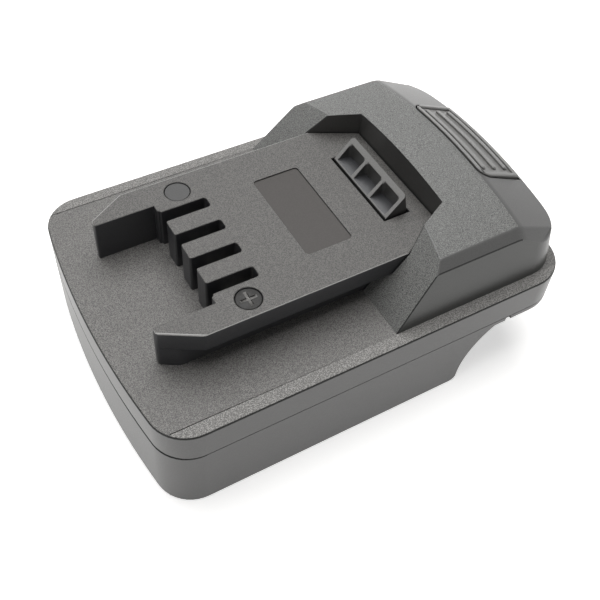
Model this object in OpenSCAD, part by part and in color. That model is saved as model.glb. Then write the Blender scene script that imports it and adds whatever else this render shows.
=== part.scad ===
// Battery adapter for a cordless tool, in millimetres.
// The tool's foot slides onto the rails on top; another battery slides into the socket underneath.
// Origin at the middle of the bottom rim, +X towards the release button, +Z up.

/* [Housing] */
// Length of the housing from the nose to the button end
body_len = 115.5; // [108:0.5:130]
// Width of the housing
body_w = 78.8; // [74:0.1:90]
// Height of the lower shell, from its rim to the seam
lower_h = 19.4; // [17:0.1:24]
// Height of the upper shell's side wall, from the seam to the tray top
tray_h = 8.8; // [8:0.1:12]
// Wall thickness of both shells
wall = 2.4; // [2:0.1:2.8]
// Radius of the bow of the nose and of the button end, in plan
end_bow_r = 220; // [150:5:500]
// Corner radius at the nose, in plan
nose_corner_r = 9.5; // [6:0.5:12]
// Corner radius at the button end, in plan
rear_corner_r = 11; // [8:0.5:15]

/* [Hump] */
// Height of the hump's crown above the tray
hump_h = 18.7; // [17.5:0.1:22]
// Step in from the tray's side to the foot of the hump
hump_side_inset = 3.4; // [2:0.1:5]
// Step in from the tray's end to the foot of the hump
hump_rear_inset = 2.6; // [1.5:0.05:4]
// Corner radius of the hump's foot at the button end
hump_corner_r = 10; // [8:0.5:14]
// Radius of the bow of the hump's end wall, in plan
hump_bow_r = 4000; // [300:50:6000]
// Height of the hump's drafted side wall above the tray
hump_edge_h = 12.65; // [11.8:0.05:13]
// Lean of the side wall from foot to edge
side_draft = 2.55; // [1:0.05:4]
// Lean of the end wall from foot to edge
rear_draft = 0.4; // [0.2:0.1:3]
// Chamfer between the side wall and the crown
side_chamfer = 2.15; // [1:0.05:3]
// Distance from the button end to the crease where the sloping band starts
band_setback = 17.75; // [16:0.05:19]
// Angle of the sloping band to the tray
band_angle = 25.5; // [24:0.5:30]
// Angle of the hump's front slope to the tray
slope_angle = 49.5; // [44:0.1:55]
// Distance from the button end to the back wall of the latch recess
recess_setback = 31.5; // [30:0.1:34]
// Depth of the latch recess along the housing
recess_depth = 12.25; // [11:0.05:14]
// Width of the latch recess at its back wall
recess_back_w = 35.6; // [32:0.1:38]

/* [Rail deck] */
// Height of the deck above the tray
deck_h = 11.3; // [10.5:0.1:11.6]
// Width over the two rail ledges
rail_w = 47.8; // [46:0.1:50]
// Width over the webs under the ledges
web_w = 42; // [41.5:0.1:43]
// Thickness of the rail ledges
ledge_t = 5.2; // [4.5:0.1:6]
// Distance from the nose to the rail tips
tip_setback = 10.2; // [8:0.1:14]
// Width over the rail tips
tip_w = 37.1; // [36.5:0.1:39]
// Width of the open channel between the tips
channel_w = 33.4; // [32.5:0.1:34]
// Length of the slanted lead-in on each rail
lead_in = 9.2; // [6:0.1:12]
// Distance from the tips to the fronts of the contact fingers
finger_setback = 15.5; // [13:0.1:17]
// Pitch of the contact slots
slot_pitch = 8.3; // [8:0.1:8.6]
// Width of a contact slot
slot_w = 3.2; // [3:0.1:3.6]
// Length of a contact slot
slot_len = 11.8; // [10:0.1:13]
// Thickness of the deck's top and walls
deck_wall = 2.2; // [1.8:0.1:2.6]
// Length of the blank label recess
label_len = 12.5; // [8:0.1:14]
// Width of the blank label recess
label_w = 27.2; // [20:0.1:30]
// Distance from the tips to the label recess
label_setback = 40; // [38:0.1:42]
// Depth of the label recess
label_depth = 0.3; // [0.2:0.05:0.6]

/* [Latch and button] */
// Travel of the release slider
travel = 5.5; // [5:0.1:5.8]
// Height of the latch tooth above the deck
tooth_h = 5.4; // [4.5:0.1:5.6]
// Width of the latch tooth
tooth_w = 24; // [20:0.1:25]
// Length of the latch tooth at its foot
tooth_len = 6.4; // [6:0.1:7]
// Distance from the recess back wall to the tooth's rear foot
tooth_setback = 4.65; // [4.3:0.05:5]
// Thickness of the tooth's ribs and rail
tooth_rib = 1.05; // [0.8:0.05:1.4]
// Width of the release button
button_w = 30.4; // [28:0.1:32]
// Angle of the button's face to the tray
button_angle = 23.5; // [22:0.1:25.5]
// Thickness of the lip that the end wall keeps behind the button
button_lip = 0.8; // [0.6:0.05:1.2]
// Number of grip ribs on the button
grip_ribs = 3; // [2:1:4]
// Wire thickness of the latch springs
spring_wire = 0.7; // [0.5:0.05:0.8]
// Outer diameter of the latch springs
spring_d = 6.4; // [6:0.1:7]
// Turns of each latch spring
spring_turns = 6; // [4:1:7]

/* [Battery socket] */
// Width of the socket channel
socket_w = 54; // [50:0.5:55]
// Height of the socket's guide ledges
guide_h = 6; // [4.5:0.1:7]
// Reach of the guide ledges into the channel
guide_reach = 3.5; // [2.5:0.1:5]
// Thickness of the socket's roof plate
roof_t = 1.4; // [1.2:0.1:1.8]
// Radius of the finger cut-away in the side walls
cutaway_r = 19.5; // [17:0.1:21]
// Distance from the button end to the cut-away's foot
cutaway_setback = 32.5; // [31:0.1:36]

/* [Fasteners and contacts] */
// Shank diameter of the screws
screw_d = 2.6; // [2.4:0.1:2.8]
// Head diameter of the deck screws
deck_head_d = 6.2; // [5.6:0.1:6.4]
// Head diameter of the housing screws
case_head_d = 5.2; // [4.8:0.1:5.4]
// Height of the screw heads
head_h = 2; // [1.6:0.1:2.2]
// Spacing of the deck screws across the housing
deck_screw_span = 37.7; // [37.3:0.1:38]
// Distance from the tips to the deck screws
deck_screw_setback = 22.1; // [20:0.1:24]
// Thickness of the plug over the far deck screw
plug_t = 1.6; // [1.2:0.1:2]
// Thickness of the circuit board
board_t = 1.6; // [1:0.1:1.6]
// Thickness of the contact clips' sheet metal
clip_t = 0.5; // [0.4:0.05:0.6]
// Thickness of the battery blades
blade_t = 0.8; // [0.6:0.05:1]
// Length of the battery blades in front of their holder
blade_len = 13; // [10:0.1:15]

/* [Hidden] */
$fn = 48;

// Clearances
fit = 0.1;
slide_gap = 0.3;
deck_gap = 0.15;
tooth_gap = 0.6;
button_gap = 0.45;
button_setback = 0.6;
over = 1;
sliver = 0.02;

// Levels
z_seam = lower_h;
z_roof = z_seam - roof_t;
z_tray = z_seam + tray_h;
z_plate = z_tray - wall;
z_deck = z_tray + deck_h;
z_ledge = z_deck - ledge_t;
z_under = z_deck - deck_wall;
z_edge = z_tray + hump_edge_h;
z_crown = z_tray + hump_h;
z_crown_side = z_edge + side_chamfer;

// Places along the housing
x_nose = -body_len / 2;
x_rear = body_len / 2;
x_tip = x_nose + tip_setback;
x_finger = x_tip + finger_setback;
x_slot_end = x_finger + slot_len;
x_label = x_tip + label_setback;
x_recess_back = x_rear - recess_setback;
x_recess_front = x_recess_back - recess_depth;
x_slope = x_recess_front - deck_h / tan(slope_angle);
x_hump_rear = x_rear - hump_rear_inset;
x_edge_rear = x_hump_rear - rear_draft;
x_band = x_rear - band_setback;
x_deck_screw = x_tip + deck_screw_setback;
x_tooth_rear = x_recess_back - tooth_setback;
x_tooth = x_tooth_rear - tooth_len;
x_button = x_band + button_setback;
x_button_rear = x_edge_rear - button_lip - slide_gap;
x_cutaway = x_rear - cutaway_setback;

// Half widths
column_t = 4.2;
step_len = 0.5;
step_w = 0.6;
y_step = 1.5 * slot_pitch + slot_w / 2 + step_w;
y_body = body_w / 2;
y_hump = y_body - hump_side_inset;
y_edge = y_hump - side_draft;
y_crown = y_edge - side_chamfer;
y_rail = rail_w / 2;
y_web = web_w / 2;
y_deck_screw = deck_screw_span / 2;
y_button = button_w / 2;
y_socket = socket_w / 2;
y_recess = recess_back_w / 2;
y_hollow = y_web - column_t;

// Crown of the hump: an arc that drops from the middle to the chamfer
crown_drop = z_crown - z_crown_side;
crown_r = (y_crown * y_crown + crown_drop * crown_drop) / (2 * crown_drop);

// Release slider, guide posts and springs
arm_t = 3;
arm_margin = 2;
arm_half = tooth_w / 2 + arm_margin;
arm_drop = 6.3;
arm_lead = 1.5;
arm_room = 0.7;
z_arm = z_under - arm_drop;
stop_gap = 0.2;
z_stop = z_under - stop_gap;
stop_len = 2.6;
stop_half = 10;
stop_setback = 0.4;
x_stop = x_recess_back - stop_setback;
post_d = 3.6;
post_y = 8;
post_setback = 8.2;
post_reach = 2;
x_post = x_recess_back + post_setback;
z_post = z_arm + arm_t + post_reach;
tooth_lean = 1.25;
pocket_count = 3;
pocket_lift = 0.3;
tooth_side_gap = 0.4;
button_raise = 0.35;
button_corner = 3;
button_frame = 1.3;
rib_margin = 1.4;
grip_depth = 0.7;
grip_rib_w = 1.3;
spring_rings = 10;
spring_sides = 6;

// Inner channel of the socket and the battery's latch pocket
socket_wall = 2;
socket_setback = 8.7;
x_socket = x_nose + socket_setback;
rib_t = 1.6;
rib_lift = 1;
cross_ribs = 3;
nose_ribs = 4;
catch_len = 8;
catch_half = 12.6;
catch_t = 1.2;
catch_rise = 3.4;
catch_setback = 43;
z_catch = z_seam + catch_rise;
x_catch = x_rear - catch_setback;
lip_h = 1.2;
lip_t = 1.2;
foot_r = 2;
notch_len = 1.6;
notch_depth = 2;
notch_roof = 0.2;
notch_setback = 11.6;
x_notch = x_cutaway + notch_setback;

// Housing screws: one pair under the nose, one pair under the hump
boss_d = 6.6;
case_boss_d = 7;
y_case = (y_socket + socket_wall + y_body - wall) / 2;
case_setback = 3;
case_seat_depth = 6;
tip_room = 1;
x_case = [x_tip + case_setback, x_recess_front - case_setback];
z_case_seat = z_seam - case_seat_depth;
case_shank = z_plate - z_case_seat - tip_room;
deck_boss_lift = 1.2;
deck_head_gap = 0.2;
z_deck_boss = z_seam + deck_boss_lift;
deck_shank = z_deck - deck_head_gap - plug_t - head_h - z_deck_boss - tip_room;
cross_w = 0.9;
cross_depth = 1.1;
cross_reach = 0.36;

// Circuit board and what stands on it
board_lift = 1;
z_board = z_seam + board_lift;
z_board_top = z_board + board_t;
board_half = 14.8;
board_len = 42;
board_setback = 7.8;
x_board = x_tip + board_setback;
x_board_end = x_board + board_len;
peg_d = 2.4;
peg_stub = 1;
peg_reach = 0.6;
peg_y = 12;

// Contact carrier and clips
window_margin = 1.2;
window_half = 1.5 * slot_pitch + slot_w / 2 + window_margin;
window_setback = 3;
window_reach = 4;
x_window = x_finger + window_setback;
x_window_end = x_slot_end + window_reach;
flange = 1.4;
peg_inset = 3;
peg_x = [x_window - flange - peg_inset, x_board_end - peg_inset];
clip_gap = 1;
clip_setback = 4.4;
clip_reach = 3.4;
clip_lift = 1.6;
clip_depth = 5.4;
clip_room = 0.6;
clip_front = x_finger + clip_setback;
clip_rear = x_slot_end + clip_reach;
z_clip = z_board_top + clip_lift;
z_clip_top = z_deck - clip_depth;
solder = 0.6;
tail_w = 1;
clip_y = [for (i = [0:3]) (i - 1.5) * slot_pitch];

// Parts soldered to the board behind the contact carrier
transistor_size = [6.4, 6.6, 2.2];
transistor_y = 7.5;
transistor_setback = 5;
x_transistor = x_window_end + flange + transistor_setback;
chip_size = [5, 4, 1.5];
chip_y = -3;
chip_setback = 8;
x_chip = x_transistor + chip_setback;
resistor_size = [2, 1.2, 0.6];
resistor_rows = 4;
resistor_pitch = 2.2;
resistor_spread = 2;
resistor_y = 2.4;
capacitor_size = [3.2, 1.6, 1.6];
capacitor_pitch = 2.8;
capacitor_y = -9.4;

// Battery blades and their holder
holder_len = 9;
holder_half = 18;
holder_h = 11;
holder_setback = 3.6;
x_holder = x_socket + holder_setback;
blade_h = 5;
blade_drop = 8.5;
blade_tail = 3;
blade_tail_inset = 1.2;
blade_pitch = 8.2;
x_blade_tail = x_board + blade_tail_inset;
blade_y = [for (i = [0:3]) (i - 1.5) * blade_pitch];
holder_screw_d = 2;
holder_head_d = 3.8;
holder_head_h = 0.8;
holder_shank = 6;
holder_screw_inset = 2.6;
holder_screw_y = holder_half - holder_screw_inset;
holder_screw_x = x_holder + holder_len / 2;
head_room = 1;

// Colours
charcoal = "#3d3e40";
dark = "#2b2c2e";
steel = "#9a9c9e";
copper = "#b8794a";
board_green = "#1f5a3c";
chip_black = "#1c1c1e";
capacitor_tan = "#a98a63";

function flip_x(p) = [for (q = p) [-q[0], q[1]]];
function flip_y(p) = [for (q = p) [q[0], -q[1]]];
function backwards(p) = [for (i = [len(p) - 1:-1:0]) p[i]];
function but_last(p) = [for (i = [0:len(p) - 2]) p[i]];

// Half of a bowed end from the side line to the middle: a corner arc tangent to the bow, then the bow
function bowed_end(x_end, half_w, corner_r, bow_r, steps = 10) =
    let (x_bow = x_end + bow_r)
    let (x_corner = x_bow - sqrt(pow(bow_r - corner_r, 2) - pow(half_w - corner_r, 2)))
    let (turn = atan2(half_w - corner_r, x_corner - x_bow))
    concat(
        [for (i = [0:steps]) let (a = 90 + (turn - 90) * i / steps)
            [x_corner + corner_r * cos(a), half_w - corner_r + corner_r * sin(a)]],
        [for (i = [1:steps]) let (a = turn + (180 - turn) * i / steps)
            [x_bow + bow_r * cos(a), bow_r * sin(a)]]);

// Plan of the housing, drawn in from its walls by inset
function body_outline(inset = 0) =
    let (nose = bowed_end(x_nose + inset, y_body - inset, nose_corner_r - inset, end_bow_r - inset))
    let (rear = flip_x(bowed_end(-x_rear + inset, y_body - inset, rear_corner_r - inset,
        end_bow_r - inset)))
    concat(nose, backwards(flip_y(but_last(nose))), flip_y(rear), backwards(but_last(rear)));

// Plan of the hump at one level, square at the front and bowed at the button end
function hump_outline(rear, half_w, corner_r) =
    let (end = flip_x(bowed_end(-rear, half_w, corner_r, hump_bow_r, 8)))
    concat([[x_slope, half_w], [x_slope, -half_w]], flip_y(end), backwards(but_last(end)));

// Profile across the hump's top, crown arc and side chamfers, in heights below the crown times shrink
function top_profile(inset, shrink) =
    let (spread = asin(y_crown / crown_r), steps = 16)
    let (z_out = -shrink * (crown_drop + y_body - y_crown) - inset)
    concat([[y_body, -body_len], [-y_body, -body_len], [-y_body, z_out]],
        [for (i = [0:steps]) let (a = -spread + 2 * spread * i / steps)
            [crown_r * sin(a), -shrink * crown_r * (1 - cos(a)) - inset]],
        [[y_body, z_out]]);

// Draws a shape given in X and Z between two places across the housing
module across(y_from, y_to) {
    translate([0, y_to, 0])
        rotate([90, 0, 0])
            linear_extrude(y_to - y_from)
                children();
}

// A box between two corners
module block(low, high) {
    translate(low)
        cube(high - low);
}

// A box that is the same on both sides of the middle
module wide_block(x_from, x_to, half_w, z_from, z_to) {
    block([x_from, -half_w, z_from], [x_to, half_w, z_to]);
}

module both_sides() {
    children();
    mirror([0, 1, 0])
        children();
}

// The hump before its front slope is cut, drawn in from its walls by inset, with its band at one angle
module hump_block(inset = 0, angle = band_angle) {
    lean = (hump_h + over) / hump_edge_h;
    intersection() {
        hull() {
            translate([0, 0, z_tray - wall])
                linear_extrude(wall)
                    polygon(hump_outline(x_hump_rear - inset, y_hump - inset, hump_corner_r - inset));
            translate([0, 0, z_crown + over - sliver])
                linear_extrude(sliver)
                    polygon(hump_outline(x_hump_rear - lean * rear_draft - inset,
                        y_hump - lean * side_draft - inset, hump_corner_r - lean * rear_draft - inset));
        }
        hump_top(0, inset);
        hump_top(angle, inset);
    }
}

// Everything below the hump's top profile, carried along the housing and tilted down by angle from the crease
module hump_top(angle, inset) {
    translate([x_band, 0, z_crown])
        rotate([0, angle, 0])
            rotate([90, 0, 90])
                translate([0, 0, -body_len])
                    linear_extrude(2 * body_len)
                        polygon(top_profile(inset, cos(angle)));
}

// Everything in front of the hump's slope, moved back by shift
module slope_cut(shift = 0) {
    rise = hump_h + over;
    across(-y_body, y_body)
        polygon([[x_slope - over, z_tray - wall - over], [x_slope + shift - over, z_tray - wall - over],
            [x_slope + shift, z_tray], [x_slope + shift + rise / tan(slope_angle), z_tray + rise],
            [x_slope - over, z_tray + rise]]);
}

// Plan of the deck: rail tips with their lead-in, ledges, and the end that fills the latch recess
function deck_side(grow, half_w) =
    let (lean = (y_rail - tip_w / 2) / lead_in)
    let (taper = (y_rail - y_recess) / recess_depth)
    let (reach = half_w + grow)
    [[x_tip, tip_w / 2], [x_tip + (half_w - tip_w / 2) / lean, reach],
        [x_recess_front + (y_rail - half_w) / taper, reach], [x_recess_back + grow, y_recess + grow]];

module deck_plan(grow = 0, half_w = y_rail) {
    side = deck_side(grow, half_w);
    polygon(concat(side, backwards(flip_y(side))));
}

// The space that the deck fills in the hump, grown by grow
module deck_pocket(grow, z_to) {
    translate([0, 0, z_ledge - grow])
        linear_extrude(z_to - z_ledge + grow)
            deck_plan(grow);
    translate([0, 0, z_tray - max(grow - deck_gap, 0)])
        linear_extrude(z_to - z_tray + max(grow - deck_gap, 0))
            deck_plan(grow, y_web);
}

module screw(x, y, z_seat, head_d, shank, head = head_h, shank_d = screw_d) {
    translate([x, y, z_seat])
        difference() {
            union() {
                cylinder(d = head_d, h = head);
                translate([0, 0, -shank])
                    cylinder(d = shank_d, h = shank + sliver);
            }
            for (turn = [0, 90])
                rotate([0, 0, turn])
                    translate([-head_d * cross_reach, -cross_w / 2, head - cross_depth * head / head_h])
                        cube([2 * head_d * cross_reach, cross_w, head]);
        }
}

// Upper shell: the tray and the hump in one hollow moulding, open underneath
module upper_shell() {
    color(charcoal) {
        difference() {
            union() {
                translate([0, 0, z_seam])
                    linear_extrude(tray_h)
                        polygon(body_outline());
                difference() {
                    hump_block();
                    slope_cut();
                }
            }
            translate([0, 0, z_seam - over])
                linear_extrude(z_plate - z_seam + over)
                    polygon(body_outline(wall));
            difference() {
                hump_block(wall);
                slope_cut(wall / sin(slope_angle));
                deck_pocket(wall, z_crown + over);
            }
            deck_pocket(deck_gap, z_crown + over);
            // Window for the contact carrier
            wide_block(x_window, x_window_end, window_half, z_plate - over, z_tray + over);
            // Passage for the release slider's arm and room for its travel
            wide_block(x_tooth - arm_lead - arm_room, x_recess_back + wall + over, arm_half + arm_room,
                z_plate - over, z_arm + arm_t + arm_room);
            button_opening();
            for (side = [-1, 1])
                translate([x_deck_screw, side * y_deck_screw, z_plate - over])
                    cylinder(d = screw_d + 2 * fit, h = wall + 2 * over);
        }
        for (side = [-1, 1])
            translate([x_deck_screw, side * y_deck_screw, z_deck_boss])
                difference() {
                    cylinder(d = boss_d, h = z_plate - z_deck_boss + sliver);
                    translate([0, 0, -over])
                        cylinder(d = screw_d + 2 * fit, h = z_tray);
                }
        both_sides()
            for (x = x_case)
                case_boss(x);
    }
}

// Tube under the tray that a housing screw bites into, tied to the side wall
module case_boss(x) {
    difference() {
        union() {
            translate([x, y_case, z_seam])
                cylinder(d = boss_d, h = z_plate - z_seam + sliver);
            block([x - rib_t / 2, y_case, z_seam + lip_h + slide_gap],
                [x + rib_t / 2, y_body - wall / 2, z_plate + sliver]);
        }
        translate([x, y_case, z_seam - over])
            cylinder(d = screw_d + 2 * fit, h = tray_h);
    }
}

// Opening in the sloping band that the release button works in
module button_opening() {
    translate([0, 0, z_arm - travel - slide_gap])
        linear_extrude(z_crown)
            button_plan(button_gap);
}

// Lower shell: outer wall, roof plate and the socket for the battery below
module lower_shell() {
    color(charcoal)
        difference() {
            union() {
                difference() {
                    linear_extrude(lower_h)
                        polygon(body_outline());
                    translate([0, 0, -over])
                        linear_extrude(z_roof + over)
                            polygon(body_outline(wall));
                }
                socket_walls();
                seam_lip();
                for (side = [-1, 1])
                    translate([x_post, side * post_y, z_seam - sliver])
                        cylinder(d = post_d, h = z_post - z_seam + sliver);
                for (x = peg_x)
                    for (side = [-1, 1])
                        board_peg(x, side * peg_y);
                wide_block(x_catch - catch_t, x_catch + catch_len + catch_t, catch_half + catch_t,
                    z_seam - sliver, z_catch + catch_t);
            }
            cutaway();
            wide_block(x_catch, x_catch + catch_len, catch_half, z_roof - over, z_catch);
            for (x = x_case)
                for (side = [-1, 1])
                    translate([x, side * y_case, -over]) {
                        cylinder(d = case_head_d + 2 * fit, h = z_case_seat + over);
                        cylinder(d = screw_d + 2 * fit, h = z_seam + 2 * over);
                    }
            for (y = blade_y)
                blade_slot(y, z_roof - over, z_seam + over);
            for (side = [-1, 1])
                translate([holder_screw_x, side * holder_screw_y, z_roof - over])
                    cylinder(d = holder_screw_d + 2 * fit, h = roof_t + 2 * over);
        }
}

// Walls of the battery channel, its guide ledges, the cross ribs and the screw tubes beside it
module socket_walls() {
    intersection() {
        linear_extrude(z_roof + sliver)
            polygon(body_outline(wall / 2));
        union() {
            both_sides() {
                block([x_socket, y_socket, 0], [x_rear, y_socket + socket_wall, z_roof + sliver]);
                block([x_socket, y_socket - guide_reach, 0], [x_rear, y_socket + sliver, guide_h]);
                for (i = [1:cross_ribs])
                    rib_across(x_case[0] + (x_case[1] - x_case[0]) * i / (cross_ribs + 1));
                for (x = x_case)
                    translate([x, y_case, rib_lift])
                        cylinder(d = case_boss_d, h = z_roof - rib_lift + sliver);
            }
            wide_block(x_socket - socket_wall, x_socket, y_socket + socket_wall, 0, z_roof + sliver);
            for (i = [0:nose_ribs - 1])
                translate([0, y_socket * ((2 * i + 1) / nose_ribs - 1), 0])
                    block([x_nose, -rib_t / 2, rib_lift], [x_socket - sliver, rib_t / 2, z_roof + sliver]);
        }
    }
}

module rib_across(x) {
    block([x - rib_t / 2, y_socket + socket_wall - sliver, rib_lift],
        [x + rib_t / 2, y_body, z_roof + sliver]);
}

// Low tongue that keys the lower shell into the tray
module seam_lip() {
    difference() {
        translate([0, 0, z_seam - sliver])
            linear_extrude(lip_h + sliver)
                polygon(body_outline(wall + fit));
        translate([0, 0, z_seam - over])
            linear_extrude(lip_h + 2 * over)
                polygon(body_outline(wall + fit + lip_t));
        for (x = x_case)
            wide_block(x - boss_d / 2 - fit, x + boss_d / 2 + fit, y_body, z_seam, z_seam + 2 * lip_h);
    }
}

// Stub that the circuit board stands on, with a peg through the board
module board_peg(x, y) {
    translate([x, y, z_seam - sliver]) {
        cylinder(d = peg_d + 2 * peg_stub, h = board_lift + sliver);
        cylinder(d = peg_d, h = board_lift + board_t + peg_reach);
    }
}

// Curved cut-away at the button end, and the small notch beside it in the roof plate's edge
module cutaway() {
    across(-y_body - over, y_body + over)
        difference() {
            union() {
                intersection() {
                    translate([x_cutaway + cutaway_r, foot_r])
                        circle(r = cutaway_r);
                    translate([x_cutaway, -over])
                        square([body_len, z_roof + over]);
                }
                translate([x_cutaway + cutaway_r, -over])
                    square([body_len, z_roof + over]);
                translate([x_cutaway - foot_r, -over])
                    square([cutaway_r + foot_r, foot_r + over]);
            }
            translate([x_cutaway - foot_r, foot_r])
                circle(r = foot_r);
        }
    both_sides()
        block([x_notch, y_body - notch_depth, z_roof - over],
            [x_notch + notch_len, y_body + over, z_seam - notch_roof]);
}

// Hole for a battery blade's tail
module blade_slot(y, z_from, z_to) {
    block([x_blade_tail - fit, y - blade_t / 2 - fit, z_from],
        [x_blade_tail + blade_tail + fit, y + blade_t / 2 + fit, z_to]);
}

// Rail deck: the ledges that the tool slides onto, with slots for the tool's blades
module rail_deck() {
    color(charcoal)
        difference() {
            union() {
                translate([0, 0, z_ledge])
                    linear_extrude(ledge_t)
                        deck_plan();
                translate([0, 0, z_tray])
                    linear_extrude(deck_h)
                        deck_plan(0, y_web);
            }
            // Channel between the rail tips, with a step beside the outer slots
            wide_block(x_tip - over, x_finger - step_len, channel_w / 2, z_tray - over, z_deck + over);
            wide_block(x_finger - step_len - sliver, x_finger, y_step, z_tray - over, z_deck + over);
            for (y = clip_y)
                contact_slot(y);
            // Hollow underside, open towards the recess for the slider's arm
            wide_block(x_slot_end + deck_wall, x_recess_back + over, y_hollow, z_tray - over, z_under);
            wide_block(x_tooth - tooth_gap, x_tooth_rear + slide_gap, tooth_w / 2 + tooth_side_gap,
                z_under - over, z_deck + over);
            label_recess();
            for (side = [-1, 1])
                translate([x_deck_screw, side * y_deck_screw, z_tray - over])
                    cylinder(d = screw_d + 2 * fit, h = deck_h + 2 * over);
            deck_counterbore(-1, head_h + deck_head_gap);
            deck_counterbore(1, head_h + plug_t + deck_head_gap);
        }
}

module deck_counterbore(side, depth) {
    translate([x_deck_screw, side * y_deck_screw, z_deck - depth])
        cylinder(d = deck_head_d + 2 * fit, h = depth + over);
}

// Slot for one of the tool's blades: open at the front and on top, and longer below for the clip
module contact_slot(y) {
    corner = 0.8;
    translate([0, y, z_tray - over]) {
        block([x_finger - over, -slot_w / 2, 0], [x_slot_end - corner, slot_w / 2, deck_h + 2 * over]);
        block([x_slot_end - corner - sliver, -slot_w / 2 + corner, 0],
            [x_slot_end, slot_w / 2 - corner, deck_h + 2 * over]);
        for (side = [-1, 1])
            translate([x_slot_end - corner, side * (slot_w / 2 - corner), 0])
                cylinder(r = corner, h = deck_h + 2 * over);
        block([x_slot_end - corner, -slot_w / 2, 0],
            [x_slot_end + deck_wall + over, slot_w / 2, z_clip_top - z_tray + over + clip_room]);
    }
}

module label_recess() {
    corner = 1;
    translate([x_label, 0, z_deck - label_depth])
        linear_extrude(label_depth + over) {
            translate([corner, -label_w / 2])
                square([label_len - 2 * corner, label_w]);
            translate([0, -label_w / 2 + corner])
                square([label_len, label_w - 2 * corner]);
            for (x = [corner, label_len - corner])
                for (side = [-1, 1])
                    translate([x, side * (label_w / 2 - corner)])
                        circle(r = corner);
        }
}

// Release slider: latch tooth, arm and thumb button in one moulding
module release_slider() {
    color(dark)
        difference() {
            union() {
                wide_block(x_tooth - arm_lead, x_button_rear, arm_half, z_arm, z_arm + arm_t);
                wide_block(x_stop - stop_len, x_stop, stop_half, z_arm, z_stop);
                latch_tooth();
                button();
            }
            for (side = [-1, 1])
                translate([x_post, side * post_y, z_arm - over])
                    cylinder(d = post_d + 2 * slide_gap, h = arm_t + 2 * over);
        }
}

// Wedge that catches the tool, with pockets in its sloping face
module latch_tooth() {
    x_top = x_tooth_rear - tooth_lean;
    z_top = z_deck + tooth_h;
    pocket_w = (tooth_w - (pocket_count + 1) * tooth_rib) / pocket_count;
    difference() {
        across(-tooth_w / 2, tooth_w / 2)
            polygon([[x_tooth, z_arm], [x_tooth, z_deck], [x_top, z_top], [x_tooth_rear, z_deck],
                [x_tooth_rear, z_arm]]);
        for (i = [0:pocket_count - 1])
            translate([0, -tooth_w / 2 + tooth_rib + i * (pocket_w + tooth_rib), 0])
                block([x_tooth - over, 0, z_deck + pocket_lift], [x_top - tooth_rib, pocket_w, z_top + over]);
    }
}

// Thumb button in the sloping band, with a raised frame and grip ribs
module button() {
    frame_x = x_button + button_frame;
    rib_pitch = (x_button_rear - button_frame - frame_x - 2 * rib_margin) / (grip_ribs - 1);
    difference() {
        intersection() {
            hump_block(-button_raise, button_angle);
            translate([0, 0, z_arm])
                linear_extrude(z_crown)
                    button_plan();
        }
        difference() {
            wide_block(frame_x, x_button_rear - button_frame, y_button - button_frame, z_arm + arm_t,
                z_crown + over);
            hump_block(grip_depth - button_raise, button_angle);
            for (i = [0:grip_ribs - 1])
                translate([frame_x + rib_margin + i * rib_pitch, 0, 0])
                    wide_block(-grip_rib_w / 2, grip_rib_w / 2, y_button - button_frame - rib_margin, z_arm,
                        z_crown);
        }
    }
}

// Plan of the button, rounded at its front corners, grown by grow
module button_plan(grow = 0) {
    front = x_button - grow;
    rear = x_button_rear + min(grow, slide_gap);
    half_w = y_button + grow;
    corner = button_corner + grow;
    translate([front + corner, -half_w])
        square([rear - front - corner, 2 * half_w]);
    translate([front, -half_w + corner])
        square([rear - front, 2 * (half_w - corner)]);
    for (side = [-1, 1])
        translate([front + corner, side * (half_w - corner)])
            circle(r = corner);
}

// Points round the wire at one step of the spring's helix
function spring_ring(i, steps, low, high) =
    let (a = 360 * spring_turns * i / steps)
    let (mid = (spring_d - spring_wire) / 2)
    let (z = low + spring_wire / 2 + (high - low - spring_wire) * i / steps)
    [for (k = [0:spring_sides - 1]) let (b = 360 * k / spring_sides)
        [(mid + spring_wire / 2 * cos(b)) * cos(a), (mid + spring_wire / 2 * cos(b)) * sin(a),
            z + spring_wire / 2 * sin(b)]];

// Coil spring between the roof plate and the slider's arm
module latch_spring(side) {
    steps = spring_turns * spring_rings;
    rings = [for (i = [0:steps]) spring_ring(i, steps, z_seam, z_arm)];
    points = [for (ring = rings) for (p = ring) p];
    last = steps * spring_sides;
    skin = [for (i = [0:steps - 1]) for (k = [0:spring_sides - 1])
        let (a = i * spring_sides + k, b = i * spring_sides + (k + 1) % spring_sides)
        for (face = [[a, a + spring_sides, b], [b, a + spring_sides, b + spring_sides]]) face];
    start = [for (k = [1:spring_sides - 2]) [0, k, k + 1]];
    finish = [for (k = [1:spring_sides - 2]) [last, last + k + 1, last + k]];
    color(steel)
        translate([x_post, side * post_y, 0])
            polyhedron(points, concat(skin, start, finish));
}

module latch_spring_left() {
    latch_spring(1);
}

module latch_spring_right() {
    latch_spring(-1);
}

// Screws that hold the deck down: one shows, the other is under the plug
module deck_screws() {
    color(steel) {
        screw(x_deck_screw, -y_deck_screw, z_deck - head_h - deck_head_gap, deck_head_d, deck_shank);
        screw(x_deck_screw, y_deck_screw, z_deck - head_h - deck_head_gap - plug_t, deck_head_d, deck_shank);
    }
}

// Flush plug over the far deck screw
module screw_plug() {
    color(charcoal)
        translate([x_deck_screw, y_deck_screw, z_deck - plug_t - deck_head_gap])
            cylinder(d = deck_head_d, h = plug_t);
}

// Screws from underneath that hold the two shells together
module housing_screws() {
    color(steel)
        for (x = x_case)
            for (side = [-1, 1])
                translate([x, side * y_case, z_case_seat])
                    mirror([0, 0, 1])
                        screw(0, 0, 0, case_head_d, case_shank);
}

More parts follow.
